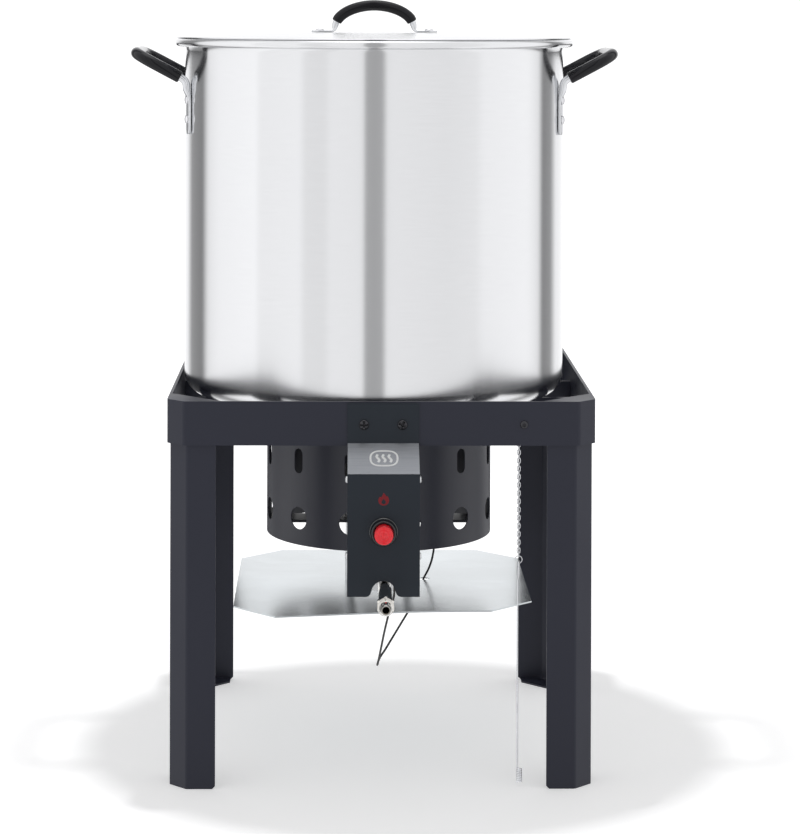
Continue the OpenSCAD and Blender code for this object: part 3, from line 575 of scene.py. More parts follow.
def turned_grain():
    """Fine scratches that run round an upright axis, on walls and on flat faces."""

    def build(tree, given):
        at = put(
            tree, "ShaderNodeVectorMath", {"operation": "SUBTRACT"}, i0=given["Vector"], i1=given["Axis"],
        )
        part = put(tree, "ShaderNodeSeparateXYZ", Vector=at.outputs[0])
        angle = calc(tree, "ARCTAN2", part.outputs["Y"], part.outputs["X"])
        flat = put(tree, "ShaderNodeCombineXYZ", X=part.outputs["X"], Y=part.outputs["Y"])
        out = put(tree, "ShaderNodeVectorMath", {"operation": "LENGTH"}, i0=flat.outputs[0])
        sine = calc(tree, "SINE", angle.outputs[0]).outputs[0]
        cosine = calc(tree, "COSINE", angle.outputs[0]).outputs[0]
        both = calc(tree, "ADD", part.outputs["Z"], out.outputs["Value"])
        across = calc(tree, "MULTIPLY", both.outputs[0], given["Fineness"])
        turn_x = calc(tree, "MULTIPLY", sine, given["Length"])
        turn_y = calc(tree, "MULTIPLY", cosine, given["Length"])
        line = put(
            tree, "ShaderNodeCombineXYZ", X=turn_x.outputs[0], Y=turn_y.outputs[0], Z=across.outputs[0],
        )
        scratch = noise(tree, line.outputs[0], 1.0, 4.0, 0.72)
        return {"Scratch": scratch.outputs[0]}

    return shader_group(
        "Turned grain",
        [
            ("Vector", "Vector", None), ("Axis", "Vector", (0, 0, 0)), ("Fineness", "Float", 1800.0),
            ("Length", "Float", 9.0),
        ],
        [("Scratch", "Float")], build,
    )


def straight_grain():
    """Fine scratches that run along X."""

    def build(tree, given):
        part = put(tree, "ShaderNodeMapping", Vector=given["Vector"], Scale=(18.0, 1500.0, 1500.0))
        scratch = noise(tree, part.outputs[0], 1.0, 3.0, 0.7)
        return {"Scratch": scratch.outputs[0]}

    return shader_group("Straight grain", [("Vector", "Vector", None)], [("Scratch", "Float")], build)


def handling():
    """Faint smudges and cloudy patches left by handling and rolling."""

    def build(tree, given):
        cloud = noise(tree, given["Vector"], given["Scale"], 4.0, 0.6)
        cloud.inputs["Distortion"].default_value = 0.4
        mask = put(tree, "ShaderNodeMapRange", Value=cloud.outputs[0], From_Min=0.42, From_Max=0.66)
        return {"Mask": mask.outputs[0]}

    return shader_group(
        "Handling marks", [("Vector", "Vector", None), ("Scale", "Float", 12.0)], [("Mask", "Float")], build,
    )


class Finish:
    """A material under construction, with its shader and object coordinates."""

    def __init__(self, name, **shader):
        self.material = bpy.data.materials.new(name)
        self.material.use_nodes = True
        self.tree = self.material.node_tree
        self.shader = self.tree.nodes["Principled BSDF"]
        for key, value in shader.items():
            self.shader.inputs[key.replace("_", " ")].default_value = value
        self.at = self.tree.nodes.new("ShaderNodeTexCoord").outputs["Object"]

    def group(self, tree, **inputs):
        node = self.tree.nodes.new("ShaderNodeGroup")
        node.node_tree = tree
        self.tree.links.new(self.at, node.inputs["Vector"])
        for key, value in inputs.items():
            node.inputs[key].default_value = value
        return node.outputs

    def colour(self, mask, one, two):
        mix = put(self.tree, "ShaderNodeMix", {"data_type": "RGBA"}, i0=mask, i6=(*one, 1), i7=(*two, 1))
        self.tree.links.new(mix.outputs[2], self.shader.inputs["Base Color"])

    def roughness(self, mask, least, most):
        span = put(
            self.tree, "ShaderNodeMapRange", Value=mask,
            From_Min=0.25, From_Max=0.75, To_Min=least, To_Max=most,
        )
        self.tree.links.new(span.outputs[0], self.shader.inputs["Roughness"])

    def bump(self, height, distance, strength=1.0):
        bump = put(self.tree, "ShaderNodeBump", Strength=strength, Distance=distance, Height=height)
        self.tree.links.new(bump.outputs[0], self.shader.inputs["Normal"])


def shade(colour, factor):
    return tuple(min(1, c * factor) for c in colour)


def powder_coat(name, colour, rough=(0.34, 0.46), scale=900.0, peel=0.05, level=0.25):
    made = Finish(name, Roughness=rough[0], Specular_IOR_Level=level)
    coat = made.group(coat_texture(), Scale=scale)
    made.colour(coat["Speckle"], shade(colour, 0.82), shade(colour, 1.2))
    made.roughness(coat["Cloud"], *rough)
    made.bump(coat["Height"], peel * MM, 0.5)
    return made.material


def spun_aluminium(name, colour):
    made = Finish(name, Metallic=1.0, Anisotropic=0.96, Anisotropic_Rotation=0.25)
    tangent = put(made.tree, "ShaderNodeTangent", {"direction_type": "RADIAL", "axis": "Z"})
    made.tree.links.new(tangent.outputs[0], made.shader.inputs["Tangent"])
    grain = made.group(turned_grain(), Axis=tuple(POT_AXIS), Fineness=2300.0, Length=10.0)
    marks = made.group(handling(), Scale=6.0)
    made.colour(grain["Scratch"], shade(colour, 0.92), shade(colour, 1.06))
    mixed = calc(made.tree, "MULTIPLY_ADD", marks["Mask"], 0.12, grain["Scratch"])
    made.roughness(mixed.outputs[0], 0.15, 0.2)
    made.bump(grain["Scratch"], 0.01 * MM, 0.35)
    return made.material


def plated(name, colour, rough=(0.08, 0.2), scale=60.0):
    made = Finish(name, Metallic=1.0)
    marks = made.group(handling(), Scale=scale)
    coat = made.group(coat_texture(), Scale=2500.0)
    made.colour(marks["Mask"], shade(colour, 0.92), shade(colour, 1.05))
    made.roughness(coat["Cloud"], *rough)
    made.bump(coat["Height"], 0.004 * MM, 0.4)
    return made.material


def rolled_zinc(name, colour):
    made = Finish(name, Metallic=1.0)
    grain = made.group(straight_grain())
    marks = made.group(handling(), Scale=9.0)
    made.colour(marks["Mask"], shade(colour, 0.9), shade(colour, 1.06))
    mixed = calc(made.tree, "MULTIPLY_ADD", marks["Mask"], 0.3, grain["Scratch"])
    made.roughness(mixed.outputs[0], 0.2, 0.27)
    made.bump(grain["Scratch"], 0.003 * MM, 0.12)
    return made.material


# The box's sloping top: a lighter, metallic copy of the dark coat with straight grain, a painted highlight
# for the light falling on it from above
def brushed_highlight_plate(name, colour):
    made = Finish(name, Metallic=0.85)
    grain = made.group(straight_grain())
    made.colour(grain["Scratch"], shade(colour, 0.7), shade(colour, 1.3))
    made.roughness(grain["Scratch"], 0.32, 0.46)
    made.bump(grain["Scratch"], 0.02 * MM, 0.6)
    return made.material


def rough_casting(name, colour):
    made = Finish(name, Metallic=0.4)
    coat = made.group(coat_texture(), Scale=420.0)
    made.colour(coat["Cloud"], shade(colour, 0.7), shade(colour, 1.5))
    made.roughness(coat["Speckle"], 0.55, 0.8)
    made.bump(coat["Height"], 0.35 * MM, 0.8)
    return made.material


def moulded(name, colour, rough=(0.1, 0.2), coat_weight=0.0, scale=700.0, peel=0.01, level=0.5):
    made = Finish(name, Coat_Weight=coat_weight, Coat_Roughness=0.05, Specular_IOR_Level=level)
    coat = made.group(coat_texture(), Scale=scale)
    made.colour(coat["Speckle"], shade(colour, 0.85), shade(colour, 1.15))
    made.roughness(coat["Cloud"], *rough)
    made.bump(coat["Height"], peel * MM, 0.4)
    return made.material


FINISHES = {}


def finish_of(slot):
    return FINISHES[slot]


class FRYER_OT_finishes(bpy.types.Operator):
    """Makes every finish and gives each piece of the frame its own"""

    bl_idname = "fryer.finishes"
    bl_label = "Finishes"

    def execute(self, context):
        pot, stand = context.scene.fryer_pot, context.scene.fryer_stand
        coat = tuple(stand.coat)
        FINISHES.update({
            "powder_coat": powder_coat("Blue-black powder coat", coat),
            "guard_paint": powder_coat(
                "Heat-resistant black paint", shade(coat, 0.85), (0.34, 0.46), 700.0, 0.04, 0.45,
            ),
            "cast_iron": rough_casting("Sand-cast iron", (0.045, 0.044, 0.043)),
            "zinc_plate": plated("Zinc plate", (0.72, 0.73, 0.74), (0.25, 0.38)),
            "galvanised": rolled_zinc("Rolled galvanised sheet", tuple(stand.zinc)),
            "brass": plated("Turned brass", (0.72, 0.50, 0.22), (0.18, 0.3)),
            "nickel": plated("Nickel plate", (0.72, 0.70, 0.66), (0.07, 0.16)),
            "chrome": plated("Plated wire", (0.72, 0.73, 0.75), (0.12, 0.25)),
            "electrode_steel": plated("Electrode steel", (0.35, 0.34, 0.34), (0.3, 0.45)),
            "ceramic": moulded("Glazed ceramic", (0.78, 0.75, 0.68), (0.15, 0.25), 0.4),
            "black_screw": plated("Black zinc", (0.055, 0.055, 0.06), (0.14, 0.24), 90.0),
            "igniter_plastic": moulded("Glossy black plastic", (0.008, 0.008, 0.010), (0.06, 0.12), 0.25),
            "red_plastic": moulded("Glossy red plastic", tuple(stand.red), (0.12, 0.2), 0.25, level=0.4),
            "wire_sleeve": moulded("Black wire sleeve", (0.007, 0.007, 0.008), (0.45, 0.6)),
            "aluminium": spun_aluminium("Spun aluminium", tuple(pot.metal)),
            "rivet": plated("Polished rivets", (0.80, 0.80, 0.82), (0.12, 0.22)),
            "handle_steel": plated("Polished handle steel", (0.74, 0.75, 0.77), (0.1, 0.2)),
            "grip": moulded("Glossy black grip", (0.006, 0.006, 0.008), (0.07, 0.12), 0.0, level=0.26),
            "box_coat": powder_coat("Box powder coat", (0.0138, 0.0188, 0.0265), (0.3, 0.42), 900.0, 0.03),
            # The sloping top's lighter colour is a painted highlight of the light from above on the coat
            "slope_plate": brushed_highlight_plate("Coat with painted highlight", (0.272, 0.282, 0.302)),
            "white_print": moulded("White print", (0.98, 0.98, 0.98), (0.3, 0.45)),
            "red_print": moulded("Red print", (0.17, 0.004, 0.009), (0.4, 0.55), level=0.3),
        })
        for part in frame["record"]["subparts"]:
            mesh = frame["nodes"][part["node"]].data
            mesh.materials.clear()
            slot = "box_coat" if part["node"] == "box_cover" else part["material_slot"]
            mesh.materials.append(finish_of(slot))
        return {"FINISHED"}


# ---- Stage ----

# The surround's brightness by direction, in degrees from the front towards +X: soft boxes with gaps between
SOFT_BOXES = (
    (-180, 1.0), (-155, 0.85), (-145, 0.3), (-127, 0.22), (-120, 0.84), (-108, 0.95), (-76, 1.0), (-73, 0.9),
    (-46, 0.93), (-42, 0.8), (-30, 0.79), (-27, 0.87), (-7.0, 0.85), (-6.4, 0.39), (5.4, 0.39), (6.0, 0.85),
    (44, 0.81), (63, 0.84), (68, 0.92), (105, 0.97), (117, 0.84), (122, 0.24), (134, 0.3), (143, 0.85),
    (180, 1.0),
)


class FRYER_OT_stage(bpy.types.Operator):
    """Sets up the camera, the pale floor with its painted glow and painted shade, and the soft studio light
    """

    bl_idname = "fryer.stage"
    bl_label = "Stage"

    def execute(self, context):
        stage = context.scene.fryer_stage
        self.camera(context)
        self.floor(stage)
        self.surround(context, stage)
        self.lamp("Key", (-0.06, 0.07, stage.key_height), (0, 0, 0), 0.1, stage.key_power)
        context.scene.view_settings.view_transform = "Standard"
        return {"FINISHED"}

    def camera(self, context):
        lens = bpy.data.cameras.new("Camera")
        lens.sensor_width = 36
        lens.lens = 111.5
        lens.shift_x = 0.024
        lens.shift_y = -0.4674
        lens.clip_end = 100
        camera = bpy.data.objects.new("Camera", lens)
        turn, nod, tilt = math.radians(0.781), math.radians(0.428), math.radians(0.166)
        away, eye_height = 2.7873, 0.78046
        camera.location = (-away * math.sin(turn), -away * math.cos(turn), eye_height)
        level = Matrix.Rotation(-turn, 4, "Z") @ Matrix.Rotation(math.pi / 2 - nod, 4, "X")
        look = level @ Matrix.Rotation(tilt, 4, "Z")
        camera.rotation_euler = look.to_euler()
        context.scene.collection.objects.link(camera)
        context.scene.camera = camera

    def floor(self, stage):
        mesh = bpy.data.meshes.new("Floor")
        mesh.from_pydata([(-40, -40, 0), (40, -40, 0), (40, 40, 0), (-40, 40, 0)], [], [(0, 1, 2, 3)])
        # The floor glows: painted light, weakest under the fryer, where it paints a darker shade, and
        # stronger farther out
        paper = Finish("Pale paper with painted glow", Roughness=0.9, Specular_IOR_Level=0.0, Emission_Strength=1.0)
        away = put(paper.tree, "ShaderNodeVectorMath", {"operation": "LENGTH"}, i0=paper.at)
        edge = put(
            paper.tree, "ShaderNodeMapRange", Value=away.outputs["Value"],
            From_Min=0.55, From_Max=1.6, To_Min=stage.glow, To_Max=0.75,
        )
        tint = grey(paper.tree, edge.outputs[0])
        paper.tree.links.new(tint.outputs[0], paper.shader.inputs["Emission Color"])
        marks = paper.group(handling(), Scale=2.0)
        paper.colour(marks["Mask"], (0.84, 0.84, 0.845), (0.85, 0.85, 0.855))
        mesh.materials.append(paper.material)
        floor = bpy.data.objects.new("Floor", mesh)
        bpy.context.scene.collection.objects.link(floor)
        floor.visible_glossy = False

    def surround(self, context, stage):
        """A white surround with a few darker gaps between its soft boxes."""
        world = bpy.data.worlds.new("Studio")
        world.use_nodes = True
        tree = world.node_tree
        way = put(tree, "ShaderNodeTexCoord").outputs["Generated"]
        part = put(tree, "ShaderNodeSeparateXYZ", Vector=way)
        back = calc(tree, "MULTIPLY", part.outputs["Y"], -1.0)
        angle = calc(tree, "ARCTAN2", part.outputs["X"], back.outputs[0])
        span = put(tree, "ShaderNodeMapRange", Value=angle.outputs[0], From_Min=-math.pi, From_Max=math.pi)
        ramp = put(tree, "ShaderNodeValToRGB", Fac=span.outputs[0])
        bar = ramp.color_ramp
        while len(bar.elements) < len(SOFT_BOXES):
            bar.elements.new(0.5)
        for element, (degrees, value) in zip(bar.elements, SOFT_BOXES):
            element.position = (degrees + 180) / 360
            element.color = (value, value, value * 1.01, 1)
        high_up = put(tree, "ShaderNodeMapRange", Value=part.outputs["Z"], From_Min=0.9, From_Max=0.98)
        mixed = put(
            tree, "ShaderNodeMix", {"data_type": "RGBA"},
            i0=high_up.outputs[0], i6=ramp.outputs[0], i7=(1.9, 1.9, 1.9, 1),
        )
        glow = tree.nodes["Background"]
        tree.links.new(mixed.outputs[2], glow.inputs["Color"])
        glow.inputs["Strength"].default_value = stage.sky
        plain = put(tree, "ShaderNodeBackground", Color=(1, 1, 1, 1), Strength=1.2)
        height = put(
            tree, "ShaderNodeMapRange", Value=part.outputs["Z"],
            From_Min=0.15, From_Max=0.8, To_Min=0.72, To_Max=1.55,
        )
        tint = grey(tree, height.outputs[0])
        fill = put(tree, "ShaderNodeBackground", Color=tint.outputs[0], Strength=stage.fill)
        path = put(tree, "ShaderNodeLightPath").outputs
        lit = put(
            tree, "ShaderNodeMixShader", i0=path["Is Diffuse Ray"], i1=glow.outputs[0], i2=fill.outputs[0],
        )
        pick = put(
            tree, "ShaderNodeMixShader", i0=path["Is Camera Ray"], i1=lit.outputs[0], i2=plain.outputs[0],
        )
        tree.links.new(pick.outputs[0], tree.nodes["World Output"].inputs["Surface"])
        context.scene.world = world

    def lamp(self, name, place, aim, size, power):
        light = bpy.data.lights.new(name, "AREA")
        light.shape = "DISK"
        light.size = size
        light.energy = power
        lamp = bpy.data.objects.new(name, light)
        lamp.location = place
        lamp.rotation_euler = (Vector(aim) - Vector(place)).to_track_quat("-Z", "Y").to_euler()
        lamp.visible_glossy = False
        bpy.context.scene.collection.objects.link(lamp)


# ---- Wire ----


class FRYER_OT_igniter_wire(bpy.types.Operator):
    """Makes the igniter wire, which hangs from the heat shield and rises into the box"""

    bl_idname = "fryer.igniter_wire"
    bl_label = "Igniter wire"

    def execute(self, context):
        route = smooth_route([Vector(p) * MM for p in WIRE_ROUTE], 6)
        radius = 1.1 * MM
        wire = piece(
            "igniter_wire_sleeve", *swept(route, oval(radius, radius, 12), (1, 0, 0)),
            finish_of("wire_sleeve"), "stand", "wire_sleeve", ["igniter_wire"], sharp=60,
        )
        return {"FINISHED"}


# ---- Pot and lid ----


class FRYER_OT_pot(bpy.types.Operator):
    """Makes the pot's spun shell with its rolled rim"""

    bl_idname = "fryer.pot"
    bl_label = "Pot"

    def execute(self, context):
        pot = context.scene.fryer_pot
        r, w, base = POT_WALL, pot.wall, low("pot").z
        c = pot.base_round
        bead = (r + 7 * MM, RIM_TOP - pot.bead)
        floor = base + w + 0.5 * MM
        outline = [(0, base), (r - c - 40 * MM, base)]
        outline += round_points((r - c, base + c), c, -90, 0, 14)
        for z in range(1, 10):
            outline.append((r, base + c + (bead[1] - 9 * MM - base - c) * z / 10))
        outline += [(r, bead[1] - 9 * MM), (r + 0.5 * MM, bead[1] - 5.4 * MM)]
        outline += round_points(bead, pot.bead, 212, 450, 20)
        outline += [(bead[0] - 3 * MM, RIM_TOP - 0.05 * MM), (r - w + 2.4 * MM, RIM_TOP - 0.1 * MM)]
        outline += round_points((r - w + 2 * MM, RIM_TOP - 2.1 * MM), 2 * MM, 90, 180, 5)
        for z in range(9, 0, -1):
            outline.append((r - w, floor + c + (RIM_TOP - 12 * MM - floor - c) * z / 10))
        outline += round_points((r - c, floor + c - w), c - w, 0, -90, 10)
        outline += [(r - c - 40 * MM, floor), (0, floor)]
        shell = placed(turned(outline, pot.segments), Matrix.Translation(POT_AXIS))
        piece("pot_shell", *shell, finish_of("aluminium"), "pot", "aluminium", ["pot"], sharp=40)
        return {"FINISHED"}


class FRYER_OT_lid(bpy.types.Operator):
    """Makes the low-domed lid with its flat edge and locating skirt"""

    bl_idname = "fryer.lid"
    bl_label = "Lid"

    def execute(self, context):
        pot = context.scene.fryer_pot
        edge = (high("lid").x - low("lid").x) / 2
        dome, top, thick = edge - 9 * MM, high("lid").z, 1.2 * MM
        rise = top - thick - RIM_TOP
        height = lambda r: top - rise * (r / dome) ** 2
        over = [(dome * i / 24, height(dome * i / 24)) for i in range(25)]
        outline = over + [(edge - 1.2 * MM, RIM_TOP + thick)]
        outline += round_points((edge - 0.6 * MM, RIM_TOP + 0.6 * MM), 0.6 * MM, 90, -90, 6)
        skirt = POT_WALL - pot.wall - 2.4 * MM
        outline += [(dome, RIM_TOP)]
        wide, foot = skirt + 1.4 * MM, RIM_TOP - 7 * MM
        outline += [(wide, height(wide) - thick), (wide, foot), (skirt, foot), (skirt, height(skirt) - thick)]
        outline += [(r, z - thick) for r, z in reversed(over[:-2])]
        shell = placed(turned(outline, pot.segments), Matrix.Translation(POT_AXIS))
        piece("lid_shell", *shell, finish_of("aluminium"), "lid", "aluminium", ["lid"], sharp=40)
        return {"FINISHED"}


def strap_lean(pot):
    """The angle round the pot, from the X axis, at which a handle's flattened end sits."""
    return math.asin(pot.handle_width / 2 / (POT_WALL + ROD_STANDOFF))


def round_end(along, radius):
    """The half width of a strap with a round end, at a distance from that end."""
    if along > radius:
        return radius
    return math.sqrt(max(0.01, 1 - (1 - along / radius) ** 2)) * radius


class FRYER_OT_pot_handles(bpy.types.Operator):
    """Makes the two pot handles, with flattened ends, and their glossy grips"""

    bl_idname = "fryer.pot_handles"
    bl_label = "Pot handles"

    def execute(self, context):
        pot = context.scene.fryer_pot
        for side, name in ((1, "right"), (-1, "left")):
            turn = Matrix.Translation(POT_AXIS) @ Matrix.Scale(side, 4, (1, 0, 0))
            bar = placed(self.bar(pot), turn)
            piece(
                "handle_bar_" + name, *bar,
                finish_of("handle_steel"), "pot", "handle_steel", ["handle_" + name], sharp=50,
            )
            sleeve = placed(self.sleeve(pot), turn)
            piece(
                "grip_sleeve_" + name, *sleeve,
                finish_of("grip"), "pot", "grip", ["grip_" + name], sharp=60,
            )
        return {"FINISHED"}

    def line(self, pot):
        """The rod's centre line, from one flattened end round the loop to the other."""
        half = pot.handle_width / 2
        out = high("grip_right").x - POT_AXIS.x - pot.grip
        bottom = low("handle_right").z
        lean = strap_lean(pot)
        knee = Vector(((POT_WALL + ROD_STANDOFF) * math.cos(lean), half, RIM_TOP - HANDLE_DROP))
        reach = out - knee.x
        end = Vector((out, half, knee.z + reach * math.tan(pot.handle_tilt)))
        foot = Vector((knee.x, half, bottom))
        flip = lambda p: Vector((p.x, -p.y, p.z))
        corners = [foot, knee, end, flip(end), flip(knee), flip(foot)]
        return bent_route(corners, [9 * MM, 24 * MM, 24 * MM, 9 * MM], 12), knee, lean, bottom

    def bar(self, pot):
        line, knee, lean, bottom = self.line(pot)
        first, last = line[:1], line[-1:]
        legs = [bottom + t * MM for t in (0.3, 0.8, 2, 4, 6.5, 15, 25, 35, 41, 44, 47)]
        down = [Vector((first[0].x, first[0].y, z)) for z in legs]
        up = [Vector((last[0].x, last[0].y, z)) for z in reversed(legs)]
        points = down + line[1:-1] + up
        sections, placed_points = [], []
        for p in points:
            rise = p.z - bottom
            on_strip = abs(abs(p.y) - pot.handle_width / 2) < 1e-6 and p.z < knee.z - 6 * MM
            if on_strip:
                blend = min(1, max(0, (rise - 38 * MM) / (10 * MM)))
                wide = round_end(rise, 6.5 * MM)
                wide, thick = wide + (pot.rod - wide) * blend, 1.6 * MM + (pot.rod - 1.6 * MM) * blend
                inward = (1 - blend) * 2.4 * MM
                way = math.copysign(lean, p.y)
                p = Vector((p.x - inward * math.cos(way), p.y - inward * math.sin(way), p.z))
            else:
                wide = thick = pot.rod
            placed_points.append(p)
            sections.append(flat_bar(wide, thick, 24))
        side = Vector((-math.sin(lean), math.cos(lean), 0))
        return swept(placed_points, sections, side)

    def sleeve(self, pot):
        """The grip, with rounded ends, over the loop's legs and outer bar."""
        line, knee, _, _ = self.line(pot)
        body = [p for p in line if p.x > knee.x + 7 * MM]
        start = 6.5 * MM
        first = Vector((knee.x + start, pot.handle_width / 2, knee.z + start * math.tan(pot.handle_tilt)))
        last = Vector((first.x, -first.y, first.z))
        lead, tail = (body[0] - first).normalized(), (body[-1] - last).normalized()
        ends = [(0.0, 4.1), (0.02, 5.4), (0.5, 6.1), (1.4, 6.4)]
        points = [first + lead * (along * MM) for along, _ in ends] + body
        points += [last + tail * (along * MM) for along, _ in reversed(ends)]
        radii = [r * MM for _, r in ends] + [pot.grip] * len(body) + [r * MM for _, r in reversed(ends)]
        return swept(points, [oval(r, r, 24) for r in radii], (0, 0, 1))


class FRYER_OT_lid_handle(bpy.types.Operator):
    """Makes the lid's arched handle with its flattened feet and grip"""

    bl_idname = "fryer.lid_handle"
    bl_label = "Lid handle"

    def execute(self, context):
        rod, grip = 3.5 * MM, 5.8 * MM
        foot_z = low("lid_handle").z + 1.1 * MM
        reach, rise, flat = 42.3 * MM, 23.4 * MM, 1.04
        spring_z = high("lid_grip").z - 6 * MM - rise

        def on_arch(a):
            c, s = math.cos(a), math.sin(a)
            return Vector((reach * math.copysign(abs(c) ** flat, c), 0, spring_z + rise * s))

        arc = [on_arch(math.radians(6 + 168 * i / 56)) for i in range(57)]
        end = arc[0]
        toe = high("lid_handle").x - POT_AXIS.x
        ankle = Vector((end.x + 1.6 * MM, 0, foot_z))
        leg = bent_route([Vector((toe - 10 * MM, 0, foot_z)), ankle, end], 3.6 * MM, 8)
        right = [Vector((toe - t, 0, foot_z)) for t in (0.2 * MM, 0.8 * MM, 2 * MM, 4 * MM, 6 * MM)] + leg
        points = right + arc[1:-1] + [Vector((-p.x, 0, p.z)) for p in reversed(right)]
        sections = []
        for p in points:
            out = toe - abs(p.x)
            blend = min(1, max(0, (p.z - foot_z) / (4.5 * MM)))
            wide = round_end(out, 6 * MM)
            sections.append(flat_bar(wide + (rod - wide) * blend, 1.1 * MM + (rod - 1.1 * MM) * blend, 24))
        bar = placed(swept(points, sections, (0, 1, 0)), Matrix.Translation(POT_AXIS))
        piece(
            "lid_handle_bar", *bar,
            finish_of("handle_steel"), "lid", "handle_steel", ["lid_handle"], sharp=50,
        )
        inside = [on_arch(math.radians(14 + 152 * i / 48)) for i in range(49)]
        radii = [3.6, 4.8, 5.5] + [grip / MM] * (len(inside) - 6) + [5.5, 4.8, 3.6]
        inside[1] = inside[0].lerp(inside[1], 0.12)
        inside[2] = inside[0].lerp(inside[2], 0.3)
        inside[-2] = inside[-1].lerp(inside[-2], 0.12)
        inside[-3] = inside[-1].lerp(inside[-3], 0.3)
        sleeve = swept(inside, [oval(r * MM, r * MM, 24) for r in radii], (0, 1, 0))
        sleeve = placed(sleeve, Matrix.Translation(POT_AXIS))
        piece("lid_grip_sleeve", *sleeve, finish_of("grip"), "lid", "grip", ["lid_grip"], sharp=60)
        return {"FINISHED"}


# ---- Fasteners ----


def domed(radius, height, base, share, degrees):
    """Points of a domed head's outline: the dome takes a share of the height, above a base."""
    angles = [math.radians(a) for a in degrees]
    return [(radius * math.cos(a), height * (base + share * math.sin(a))) for a in angles]


def pan_head(radius, height, shank, length):
    """A screw with a domed head and a cross recess, its head towards +Z."""
    ball = [(radius, 0), (radius, height * 0.35)] + domed(radius, height, 0.35, 0.65, (18, 36, 54, 70))
    outline = [(0, height * 0.45), (radius * 0.16, height * 0.5)] + ball[::-1]
    body = turned(outline + [(shank, 0), (shank, -length), (0, -length)], 32)
    verts = body[0]
    for v in verts:
        r = math.hypot(v.x, v.y)
        if v.z > height * 0.3 and r < radius * 0.62:
            near = min(abs(v.x), abs(v.y))
            if near > radius * 0.12:
                v.z = height * (0.98 if r < radius * 0.5 else 0.93)
            else:
                v.z = height * 0.4
    return body


def rivet_head(radius, height):
    """A low domed rivet head, seated at z = 0."""
    points = [(radius, 0), (radius, height * 0.25)] + domed(radius, height, 0.25, 0.75, (15, 30, 45, 60, 75))
    return turned([(0, height)] + points[::-1] + [(0, 0)], 28)


def socket_head(radius, height, shank, length):
    """A button-head screw with a round-ended socket, its head towards +Z."""
    floor = height * 0.35
    points = [(0, floor), (radius * 0.42, floor), (radius * 0.44, height * 0.95), (radius * 0.5, height)]
    points += domed(radius, height, 0.3, 0.66, (54, 40, 26, 12))
    points += [(radius, height * 0.3), (radius, 0), (shank, 0), (shank, -length), (0, -length)]
    return turned(points, 32)


class FRYER_OT_screws(bpy.types.Operator):
    """Makes the cross-head screws and the rivets"""

    bl_idname = "fryer.screws"
    bl_label = "Screws and rivets"

    def execute(self, context):
        front = (math.pi / 2, 0, 0)
        lo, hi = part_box("flange_screws")
        z, r = (lo.z + hi.z) / 2, (hi.z - lo.z) / 2
        seat = low("flange_screws").y + r * 0.6
        turned_a_little = (math.pi / 2, 0.5, 0)
        places = [(Vector((lo.x + r, seat, z)), front), (Vector((hi.x - r, seat, z)), turned_a_little)]
        scattered("flange_screw_heads", pan_head(r, r * 0.6, 2.5 * MM, 13 * MM), places,
                  finish_of("black_screw"), "stand", ["flange_screws"])
        lo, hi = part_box("holder_screw")
        r = (hi.x - lo.x) / 2
        at = Vector(((lo.x + hi.x) / 2, lo.y + r * 0.6, (lo.z + hi.z) / 2))
        scattered("holder_screw_head", socket_head(r, r * 0.6, 2 * MM, 16 * MM), [(at, front)],
                  finish_of("black_screw"), "stand", ["holder_screw"])
        lo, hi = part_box("side_screws")
        r = (hi.y - lo.y) / 2
        places = []
        for height in (lo.z + r, hi.z - r):
            places.append((Vector((hi.x - r * 0.6, (lo.y + hi.y) / 2, height)), (0, math.pi / 2, 0)))
            places.append((Vector((lo.x + r * 0.6, (lo.y + hi.y) / 2, height)), (0, -math.pi / 2, 0)))
        scattered("side_screw_heads", pan_head(r, r * 0.6, 1.9 * MM, 6 * MM), places,
                  finish_of("zinc_plate"), "stand", ["side_screws"])
        self.handle_rivets(context.scene.fryer_pot)
        return {"FINISHED"}

    def handle_rivets(self, pot):
        lean = strap_lean(pot)
        places = []
        for sx in (1, -1):
            for sy in (1, -1):
                way = sy * lean if sx > 0 else math.pi - sy * lean
                out = Vector((math.cos(way), math.sin(way), 0))
                for z in (RIM_TOP - drop for drop in RIVET_DROPS):
                    at = POT_AXIS + out * (POT_WALL + STRAP_FACE) + Vector((0, 0, z))
                    turn = out.to_track_quat("Z", "Y").to_euler()
                    places.append((at, tuple(turn)))
                    inner = POT_AXIS + out * (POT_WALL - pot.wall) + Vector((0, 0, z))
                    places.append((inner, tuple((-out).to_track_quat("Z", "Y").to_euler())))
        scattered("handle_rivet_heads", rivet_head(4.6 * MM, 2.6 * MM), places,
                  finish_of("rivet"), "pot", ["handle_rivets"])
        z = low("lid_handle").z + 2.2 * MM
        x = (middle("lid_rivets").x, (high("lid_rivets").x - low("lid_rivets").x) / 2 - 4.6 * MM)
        places = [(Vector((x[0] + s * x[1], 0, z)), (0, 0, 0)) for s in (1, -1)]
        places += [(Vector((p.x, 0, low("lid_rivets").z + 1.2 * MM)), (math.pi, 0, 0)) for p, _ in places]
        scattered("lid_rivet_heads", rivet_head(4.6 * MM, 2.2 * MM), places,
                  finish_of("rivet"), "lid", ["lid_rivets"])


# ---- Heat shield ----


